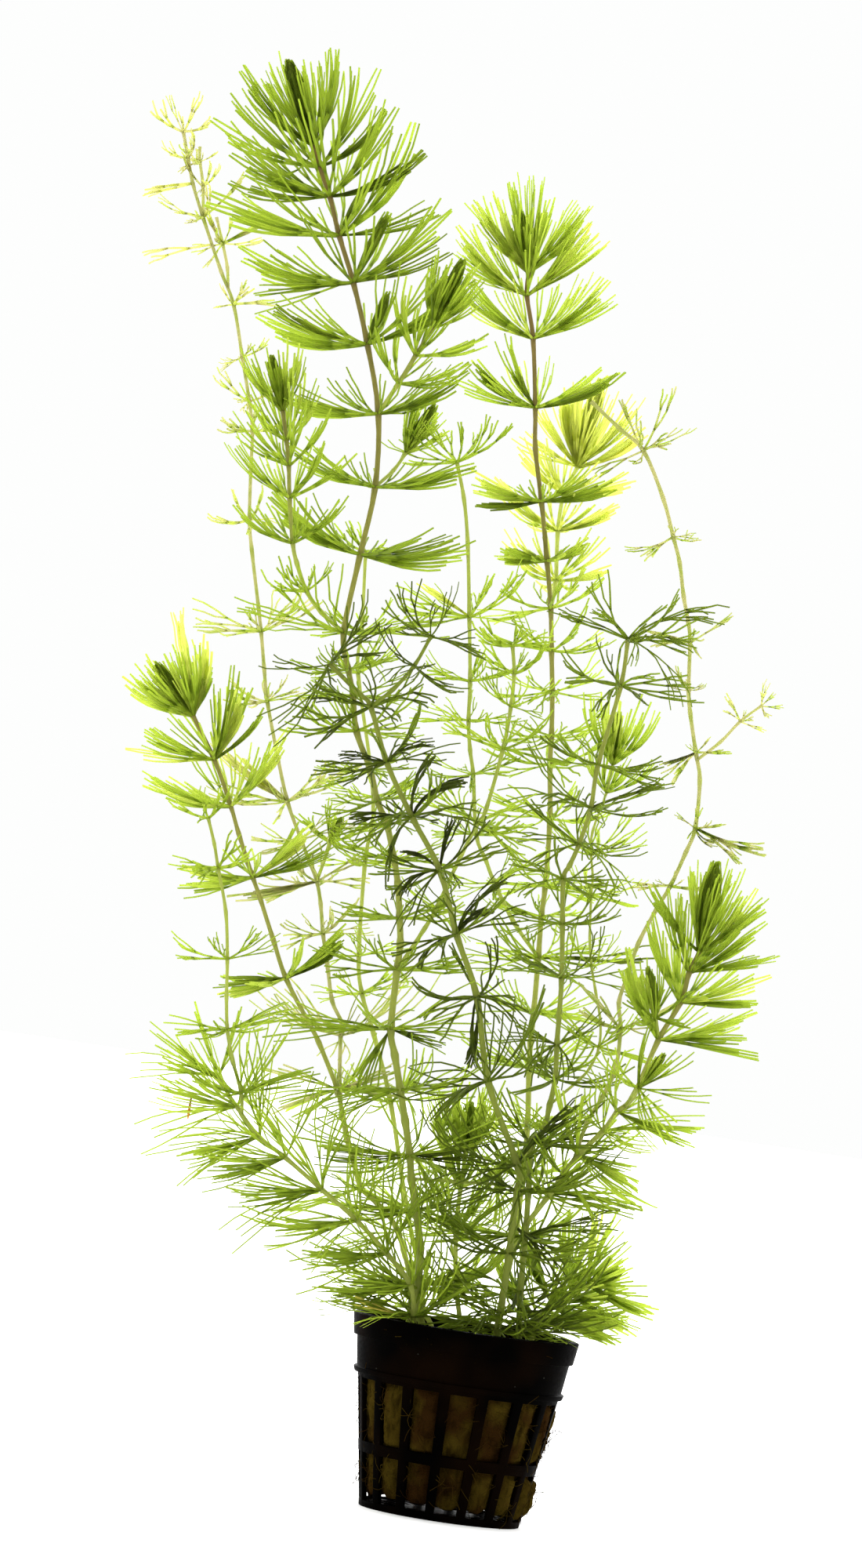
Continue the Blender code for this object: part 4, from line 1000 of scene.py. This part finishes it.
# %% Helper for finishes
class Finish:
    """A material with one Principled shader, and short calls for the nodes that feed it."""

    def __init__(self, name):
        self.material = bpy.data.materials.new(name)
        self.material.use_nodes = True
        self.nodes, self.links = self.material.node_tree.nodes, self.material.node_tree.links
        self.shader = self.nodes["Principled BSDF"]
        self.place = self.nodes.new("ShaderNodeTexCoord").outputs["Object"]

    def noise(self, scale, detail=3.0, stretch=(1, 1, 1)):
        mapping = self.nodes.new("ShaderNodeMapping")
        mapping.inputs["Scale"].default_value = stretch
        self.links.new(self.place, mapping.inputs["Vector"])
        node = self.nodes.new("ShaderNodeTexNoise")
        node.inputs["Scale"].default_value = scale
        node.inputs["Detail"].default_value = detail
        self.links.new(mapping.outputs["Vector"], node.inputs["Vector"])
        return node.outputs["Fac"]

    def specks(self, scale, size):
        """1 inside small dots, 0 elsewhere."""
        node = self.nodes.new("ShaderNodeTexVoronoi")
        node.inputs["Scale"].default_value = scale
        self.links.new(self.place, node.inputs["Vector"])
        return self.spread(node.outputs["Distance"], size, size * 0.6, 0, 1)

    def attribute(self, label):
        node = self.nodes.new("ShaderNodeAttribute")
        node.attribute_name = label
        return node.outputs["Fac"]

    def spread(self, value, *limits):
        """Maps a value from one range to another."""
        node = self.nodes.new("ShaderNodeMapRange")
        for socket, limit in zip(("From Min", "From Max", "To Min", "To Max"), limits):
            node.inputs[socket].default_value = limit
        self.links.new(value, node.inputs["Value"])
        return node.outputs["Result"]

    def blend(self, share, low, high):
        node = self.nodes.new("ShaderNodeMix")
        node.data_type = "RGBA"
        self.links.new(share, node.inputs["Factor"])
        for socket, colour in (("A", low), ("B", high)):
            if isinstance(colour, tuple):
                node.inputs[socket].default_value = (*colour, 1)
            else:
                self.links.new(colour, node.inputs[socket])
        return node.outputs["Result"]

    def scale(self, colour, amount):
        node = self.nodes.new("ShaderNodeVectorMath")
        node.operation = "SCALE"
        self.links.new(colour, node.inputs[0])
        self.links.new(amount, node.inputs["Scale"])
        return node.outputs["Vector"]

    def bump(self, height, strength, distance):
        node = self.nodes.new("ShaderNodeBump")
        node.inputs["Strength"].default_value = strength
        node.inputs["Distance"].default_value = distance
        self.links.new(height, node.inputs["Height"])
        self.links.new(node.outputs["Normal"], self.shader.inputs["Normal"])

    def paint(self, colour, roughness, shine):
        self.links.new(colour, self.shader.inputs["Base Color"])
        self.links.new(roughness, self.shader.inputs["Roughness"])
        self.shader.inputs["Specular IOR Level"].default_value = shine


# %% Leaf finish
LEAF_COLOURS = (
    (0.00, (0.030, 0.038, 0.006)),
    (0.25, (0.100, 0.140, 0.010)),
    (0.50, (0.225, 0.315, 0.020)),
    (0.75, (0.380, 0.500, 0.040)),
    (1.00, (0.680, 0.730, 0.140)),
)
OLD_STEM = (0.105, 0.145, 0.005)
YOUNG_STEM = (0.48, 0.54, 0.11)
RED_STEM = (0.13, 0.055, 0.028)
STEM_CLEARNESS = 0.6
STRAW = (0.42, 0.38, 0.17)
WITHERED = (0.80, 0.42, 0.06)
WALLS_CROSSED = 2


def leaf_finish(name, clearness, fading=0.0):
    """clearness is the share of light that goes through a leaf, and fading how straw-coloured it is."""
    leaf = Finish(name)
    grain = leaf.noise(320)
    reach = leaf.attribute("reach")
    ramp = leaf.nodes.new("ShaderNodeValToRGB")
    for position, colour in LEAF_COLOURS[1:-1]:
        ramp.color_ramp.elements.new(position)
    for element, (position, colour) in zip(ramp.color_ramp.elements, LEAF_COLOURS):
        element.position = position
        element.color = (*colour, 1)
    leaf.links.new(leaf.attribute("youth"), ramp.inputs["Fac"])
    needle = leaf.scale(ramp.outputs["Color"], leaf.spread(reach, 0, 1, 0.95, 1.05))
    green = leaf.blend(leaf.attribute("youth"), OLD_STEM, YOUNG_STEM)
    stalk = leaf.blend(leaf.spread(reach, -1, -2, 0, 1), green, RED_STEM)
    colour = leaf.blend(leaf.spread(reach, -0.6, -0.4, 0, 1), stalk, needle)
    colour = leaf.blend(leaf.spread(grain, 0.35, 0.6, 0, fading), colour, STRAW)
    colour = leaf.blend(leaf.spread(leaf.attribute("youth"), 1.1, 1.4, 0, 1), colour, WITHERED)
    colour = leaf.scale(colour, leaf.spread(grain, 0.3, 0.7, 0.88, 1.1))
    leaf.paint(colour, leaf.spread(grain, 0.3, 0.7, 0.35, 0.6), 0.25)
    leaf.bump(grain, 0.1, 0.2 * MM)

    through = leaf.nodes.new("ShaderNodeBsdfTranslucent")
    each_wall = leaf.nodes.new("ShaderNodeGamma")
    each_wall.inputs["Gamma"].default_value = 1 / WALLS_CROSSED
    leaf.links.new(colour, each_wall.inputs["Color"])
    leaf.links.new(each_wall.outputs["Color"], through.inputs["Color"])
    mix = leaf.nodes.new("ShaderNodeMixShader")
    leaf.links.new(leaf.spread(reach, -0.6, -0.4, STEM_CLEARNESS, clearness), mix.inputs["Fac"])
    leaf.links.new(leaf.shader.outputs["BSDF"], mix.inputs[1])
    leaf.links.new(through.outputs["BSDF"], mix.inputs[2])
    leaf.links.new(mix.outputs["Shader"], leaf.nodes["Material Output"].inputs["Surface"])
    return leaf.material


FINISHES = {
    "green_leaves": leaf_finish("green_leaf", 0.85),
    "pale_leaves": leaf_finish("pale_leaf", 0.88),
    "dark_leaves": leaf_finish("dark_leaf", 0.8),
}
faded_leaf = leaf_finish("faded_leaf", 0.88, 0.75)
STEM_SLOTS = {"front_stem": "dark_leaves", "front_branch": "dark_leaves", "dark_stem": "dark_leaves"}
for name in ("far_left_stem", "far_left_twig", "far_left_lower_twig", "yellow_branch", "slim_right_stem",
             "far_right_stem", "far_right_twig", "back_stem", "young_shoot", "low_right_plume"):
    STEM_SLOTS[name] = "pale_leaves"

# %% Grow every stem
for number, stem in enumerate(STEMS):
    route = routes[stem.name]
    chance = random.Random(number + 11)
    gathering = Gathering()
    add_stem(gathering, route)
    for order, (_, _, length) in enumerate(stem.nodes):
        if length:
            add_whorl(gathering, route, order, chance)
    if stem.bud:
        add_bud(gathering, route, chance)
    add_side_buds(gathering, route, chance)
    add_traced_leaves(gathering, route, chance)
    slot = STEM_SLOTS.get(stem.name, "green_leaves")
    finish = faded_leaf if stem.name in FADED_STEMS else FINISHES[slot]
    add_piece(gathering.make(stem.name, finish), slot, stem.name)

# %% [markdown]
# ## The net pot
# The pot is one moulding of black plastic. It could be cut out of a solid with booleans, but a mould
# maker thinks of it as one thin wall, and so does this: the edge of the floor's hub is extruded out to
# the foot and up the wall. Each rib takes two columns of faces and each window five, so windows and
# slots are faces that are taken away. Solidify gives the wall its thickness, and the two raised bands
# are then extruded from its outside.

# %% Profile of the pot, as radius and height in millimetres
RIB_COUNT = 16
RIB_COLUMNS = 2
WINDOW_COLUMNS = 5
COLUMNS = RIB_COUNT * (RIB_COLUMNS + WINDOW_COLUMNS)
RIB_PHASE = math.radians(-7.5)
RIB_STEP = math.tau / RIB_COUNT
HALF_RIB = RIB_COLUMNS / 2 * math.tau / COLUMNS
WALL = 1.2
HUB_RADIUS = 7.0
SLOT = (10.0, 16.5)
FOOT_RADIUS = 19.5
CAGE_TOP = 32.0
CAGE_TOP_RADIUS = 24.5
WINDOW_ROWS = ((1.6, 13.0), (15.7, 30.7))
RIM_HEIGHT = RIM_TOP / MM
BANDS = ((CAGE_TOP, 33.3), (40.7, RIM_HEIGHT))
BAND_HEIGHT = 0.8


def cage_radius(height):
    return between(FOOT_RADIUS, CAGE_TOP_RADIUS, height / CAGE_TOP)


profile = [(radius, 0.0) for radius in (*SLOT, FOOT_RADIUS)]
profile += [(cage_radius(height), height) for row in WINDOW_ROWS for height in row]
profile += [(CAGE_TOP_RADIUS, CAGE_TOP), (24.9, 33.3), (25.9, 40.7), (26.7, RIM_HEIGHT)]
print("pot profile:", len(profile), "rings")

# %% Draw the wall
let_go()
bpy.ops.mesh.primitive_circle_add(vertices=COLUMNS, radius=HUB_RADIUS * MM, fill_type="NGON",
                                  rotation=(0, 0, RIB_PHASE))
pot = bpy.context.object
pot.name = "net_pot_piece"
bpy.ops.object.transform_apply(location=True, rotation=True, scale=True)
bpy.ops.object.mode_set(mode="EDIT")
bpy.ops.mesh.select_mode(type="EDGE")
bpy.ops.mesh.select_all(action="SELECT")
bpy.ops.mesh.region_to_loop()
last_radius, last_height = HUB_RADIUS, 0.0
for radius, height in profile:
    grow = radius / last_radius
    bpy.ops.mesh.extrude_edges_move(TRANSFORM_OT_translate={"value": (0, 0, (height - last_height) * MM)})
    bpy.ops.transform.resize(value=(grow, grow, 1), center_override=(0, 0, height * MM))
    last_radius, last_height = radius, height
bpy.ops.mesh.select_all(action="SELECT")
bpy.ops.mesh.normals_make_consistent(inside=False)
bpy.ops.object.mode_set(mode="OBJECT")
print("pot wall:", len(pot.data.polygons), "faces")


# %% Open the windows and slots
def rib_offset(point):
    """The angle from the middle of the nearest rib, and the number of the rib before the point."""
    turn = (math.atan2(point.y, point.x) + math.pi / 2 - RIB_PHASE) % math.tau
    offset = (turn + RIB_STEP / 2) % RIB_STEP - RIB_STEP / 2
    return abs(offset), int(turn // RIB_STEP)


def is_open(point):
    """Whether a point of the wall lies in a window or a slot."""
    offset, _ = rib_offset(point)
    height, radius = point.z / MM, math.hypot(point.x, point.y) / MM
    in_slot = height < 0.1 and SLOT[0] < radius < SLOT[1]
    in_window = any(low < height < high for low, high in WINDOW_ROWS)
    return offset > HALF_RIB and (in_slot or in_window)


hold(pot)
bpy.ops.object.mode_set(mode="EDIT")
bpy.ops.mesh.select_mode(type="FACE")
bpy.ops.mesh.select_all(action="DESELECT")
shape = bmesh.from_edit_mesh(pot.data)
for face in shape.faces:
    face.select_set(is_open(face.calc_center_median()))
bmesh.update_edit_mesh(pot.data)
bpy.ops.mesh.delete(type="FACE")
bpy.ops.object.mode_set(mode="OBJECT")
thickness = pot.modifiers.new("wall", "SOLIDIFY")
thickness.thickness = WALL * MM
thickness.offset = -1.0
thickness.use_even_offset = True
apply_modifier(pot, thickness)

# %% Raise the ledge and the rim
bpy.ops.object.mode_set(mode="EDIT")
for low, high in BANDS:
    bpy.ops.mesh.select_all(action="DESELECT")
    shape = bmesh.from_edit_mesh(pot.data)
    for face in shape.faces:
        middle = face.calc_center_median()
        faces_out = face.normal.x * middle.x + face.normal.y * middle.y > 0
        face.select_set(low * MM < middle.z < high * MM and faces_out and abs(face.normal.z) < 0.6)
    bmesh.update_edit_mesh(pot.data)
    bpy.ops.mesh.extrude_region_shrink_fatten(TRANSFORM_OT_shrink_fatten={"value": BAND_HEIGHT * MM})
bpy.ops.object.mode_set(mode="OBJECT")
softened = pot.modifiers.new("softened edges", "BEVEL")
softened.width = 0.2 * MM
softened.segments = 2
softened.limit_method = "ANGLE"
softened.angle_limit = math.radians(40)
apply_modifier(pot, softened)
bpy.ops.object.shade_smooth_by_angle(angle=math.radians(35))
pot_corners = np.array([corner.co for corner in pot.data.vertices]) / MM
print("pot from", pot_corners.min(0).round(1), "to", pot_corners.max(0).round(1), len(pot.data.polygons), "faces")

# %% [markdown]
# The plastic is almost black. A broad noise lets a little brown through, a fine one makes the gloss
# uneven, and a sparse pattern of cells leaves pale specks of lime, as on any pot that stood in water.


# %% Plastic finish
BLACK = (0.0006, 0.0005, 0.0004)
BROWN_BLACK = (0.0035, 0.0016, 0.0007)
LIME = (0.03, 0.03, 0.025)
PLASTIC_IOR = 1.12
plastic = Finish("black_plastic_finish")
broad = plastic.noise(55, 2)
fine = plastic.noise(1400, 4)
plastic_colour = plastic.blend(plastic.spread(broad, 0.45, 0.7, 0, 1), BLACK, BROWN_BLACK)
plastic_colour = plastic.blend(plastic.specks(170, 0.04), plastic_colour, LIME)
plastic.paint(plastic_colour, plastic.spread(fine, 0.3, 0.7, 0.32, 0.55), 0.02)
plastic.shader.inputs["IOR"].default_value = PLASTIC_IOR
plastic.bump(fine, 0.2, 0.1 * MM)
pot.data.materials.append(plastic.material)
add_piece(pot, "black_plastic", "net_pot")

# %% [markdown]
# ## The rock wool
# The wool is a plug of pressed fibres, and it swells out a little through every window. A tapered
# cylinder gets its rings by subdividing, each patch behind a window is fattened by its own amount, and
# two clouds of displacement make it lumpy. Loose fibres, drawn once and copied, lie all over it.

# %% Wool plug
WOOL_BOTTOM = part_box("rock_wool")[0].z / MM + 1.0
WOOL_HEIGHT = WOOL_TOP / MM
WOOL_GAP = 0.5
WOOL_RINGS = 58
TOP_INSETS = 11
wool_low = cage_radius(WOOL_BOTTOM) - WALL - WOOL_GAP
wool_high = cage_radius(WOOL_HEIGHT) - WALL - WOOL_GAP
chance = random.Random(5)
let_go()
bpy.ops.mesh.primitive_cone_add(vertices=COLUMNS, radius1=wool_low * MM, radius2=wool_high * MM,
                                depth=(WOOL_HEIGHT - WOOL_BOTTOM) * MM, end_fill_type="NGON",
                                location=(0, 0, (WOOL_HEIGHT + WOOL_BOTTOM) / 2 * MM), rotation=(0, 0, RIB_PHASE))
wool = bpy.context.object
wool.name = "rock_wool_piece"
bpy.ops.object.transform_apply(location=True, rotation=True, scale=True)
bpy.ops.object.mode_set(mode="EDIT")
bpy.ops.mesh.select_mode(type="EDGE")
bpy.ops.mesh.select_all(action="DESELECT")
shape = bmesh.from_edit_mesh(wool.data)
for edge in shape.edges:
    edge.select_set(abs(edge.verts[0].co.z - edge.verts[1].co.z) > WALL * MM)
bmesh.update_edit_mesh(wool.data)
bpy.ops.mesh.subdivide(number_cuts=WOOL_RINGS)
for end_height in (WOOL_BOTTOM, WOOL_HEIGHT):
    bpy.ops.mesh.select_mode(type="FACE")
    bpy.ops.mesh.select_all(action="DESELECT")
    shape = bmesh.from_edit_mesh(wool.data)
    for face in shape.faces:
        face.select_set(len(face.verts) > 4 and abs(face.calc_center_median().z / MM - end_height) < 0.1)
    bmesh.update_edit_mesh(wool.data)
    for number in range(TOP_INSETS):
        bpy.ops.mesh.inset(thickness=wool_low / (TOP_INSETS + 1) * MM)
    bpy.ops.mesh.poke()
print("wool plug:", len(wool.data.polygons), "faces")

# %% Swell through the windows
SWELL = (0.5, 1.9)
# Where the wool hangs out, as row and window
TUFTS = {(0, 3): 2.4, (0, 4): 3.0, (1, 4): 2.2}


def fatten_patch(row, window, amount):
    low, high = WINDOW_ROWS[row]
    bpy.ops.mesh.select_all(action="DESELECT")
    patch = bmesh.from_edit_mesh(wool.data)
    for corner in patch.verts:
        offset, beside = rib_offset(corner.co)
        height = corner.co.z / MM
        inside_rows = low + 0.7 < height < high - 0.7
        is_side = math.hypot(corner.co.x, corner.co.y) / MM > cage_radius(height) - 3 * WALL
        corner.select_set(inside_rows and is_side and beside == window and offset > HALF_RIB * 1.6)
    bmesh.update_edit_mesh(wool.data)
    bpy.ops.transform.shrink_fatten(value=amount * MM)


bpy.ops.mesh.select_mode(type="VERT")
bpy.ops.mesh.select_all(action="SELECT")
bpy.ops.mesh.normals_make_consistent(inside=False)
for row in range(len(WINDOW_ROWS)):
    for window in range(RIB_COUNT):
        swell = chance.uniform(*SWELL)
        fatten_patch(row, window, TUFTS.get((row, window), swell))
bpy.ops.mesh.select_all(action="SELECT")
bpy.ops.mesh.vertices_smooth(factor=0.5, repeat=2)
bpy.ops.object.mode_set(mode="OBJECT")
for lump_name, lump_size, height in (("lumps", 3.5, 1.3), ("crumbs", 0.9, 0.55)):
    cloud = bpy.data.textures.new(lump_name, "CLOUDS")
    cloud.noise_scale = lump_size * MM
    lumps = wool.modifiers.new(lump_name, "DISPLACE")
    lumps.texture = cloud
    lumps.strength = height * MM
    lumps.texture_coords = "LOCAL"
    apply_modifier(wool, lumps)
bpy.ops.object.shade_smooth()

# %% Loose fibres
FIBRE_LENGTH = 5.0
FIBRE_GIRTH = 0.07
FIBRES_IN_WINDOW = 22
FIBRES_ON_TOP = 420


def draw_fibre(name, bend):
    """A thin bent strand along +X, in millimetres."""
    let_go()
    bpy.ops.curve.primitive_bezier_curve_add()
    strand = bpy.context.object
    strand.name = name
    strand.data.bevel_depth = FIBRE_GIRTH
    strand.data.bevel_resolution = 0
    strand.data.resolution_u = 4
    start, end = strand.data.splines[0].bezier_points
    start.co, end.co = (0, 0, 0), (FIBRE_LENGTH, 0, 0)
    start.handle_right, start.handle_left = (2, bend, 0.3), (-2, -bend, -0.3)
    end.handle_left, end.handle_right = (3, bend * 0.5, 0.8), (7, -bend * 0.5, -0.8)
    bpy.ops.object.convert(target="MESH")
    return strand


strands = []
for number, bend in enumerate((0.8, -1.4, 2.2)):
    strand = draw_fibre(f"strand_{number}", bend)
    corners = np.array([corner.co for corner in strand.data.vertices]) * MM
    strands.append((corners, [tuple(face.vertices) for face in strand.data.polygons]))
    bpy.data.objects.remove(strand)

fibres = Gathering()


def lay_fibre(target, spread):
    """Lays a strand on the wool near a point, pointing any way along the surface."""
    _, point, normal, _ = wool.closest_point_on_mesh(target)
    way = Quaternion(normal, chance.uniform(0, math.tau)) @ normal.orthogonal().normalized()
    way = (way + normal * chance.uniform(0, spread)).normalized()
    side = normal.cross(way).normalized()
    turn = Matrix((way, side, way.cross(side))).transposed()
    corners, faces = chance.choice(strands)
    placed = corners * chance.uniform(0.5, 1.2) @ np.array(turn).T + np.array(point)
    fibres.add(placed, faces, 0.0, chance.random())


for window in range(RIB_COUNT):
    middle = RIB_PHASE - math.pi / 2 + (window + 0.5) * RIB_STEP
    for low, high in WINDOW_ROWS:
        for number in range(FIBRES_IN_WINDOW):
            height = chance.uniform(low + 2.0, high - 1.0)
            angle = middle + chance.uniform(-0.36, 0.36) * RIB_STEP
            radius = cage_radius(height) * MM
            lay_fibre(Vector((radius * math.cos(angle), radius * math.sin(angle), height * MM)), 0.15)
for number in range(FIBRES_ON_TOP):
    angle, radius = chance.uniform(0, math.tau), math.sqrt(chance.random()) * wool_high * MM
    lay_fibre(Vector((radius * math.cos(angle), radius * math.sin(angle), (WOOL_HEIGHT + 1) * MM)), 0.4)

# %% [markdown]
# The wool is olive where algae grow on it and brown elsewhere, so a broad noise mixes two earth
# colours, and a finer one, drawn out along the height, makes darker streaks. All of these colours
# also carry painted shade: they are kept very dark to stand for the dim light inside the pot.

# %% Wool finish
# The olive and earth colours are partly the wool's own hue and partly painted shade, darkened for the dim light
# inside the pot.
SHADED_OLIVE = (0.036, 0.024, 0.003)
SHADED_EARTH = (0.018, 0.0080, 0.0018)
STREAK = (0.005, 0.0025, 0.0006)
felt = Finish("rock_wool_finish_with_painted_shade")
patches = felt.noise(95, 3)
streaks = felt.noise(420, 4, (1, 1, 0.4))
grain = felt.noise(2600, 3)
shaded_felt_colour = felt.blend(felt.spread(patches, 0.42, 0.6, 0, 1), SHADED_EARTH, SHADED_OLIVE)
shaded_felt_colour = felt.blend(felt.spread(streaks, 0.3, 0.5, 0.8, 0), shaded_felt_colour, STREAK)
felt.paint(shaded_felt_colour, felt.spread(grain, 0.3, 0.7, 0.85, 1.0), 0.02)
felt.shader.inputs["IOR"].default_value = PLASTIC_IOR
felt.bump(grain, 0.6, 0.2 * MM)
strand_piece = fibres.make("strand", felt.material)
wool.data.materials.append(felt.material)
let_go()
strand_piece.select_set(True)
wool.select_set(True)
bpy.context.view_layer.objects.active = wool
bpy.ops.object.join()
add_piece(wool, "rock_wool", "rock_wool")
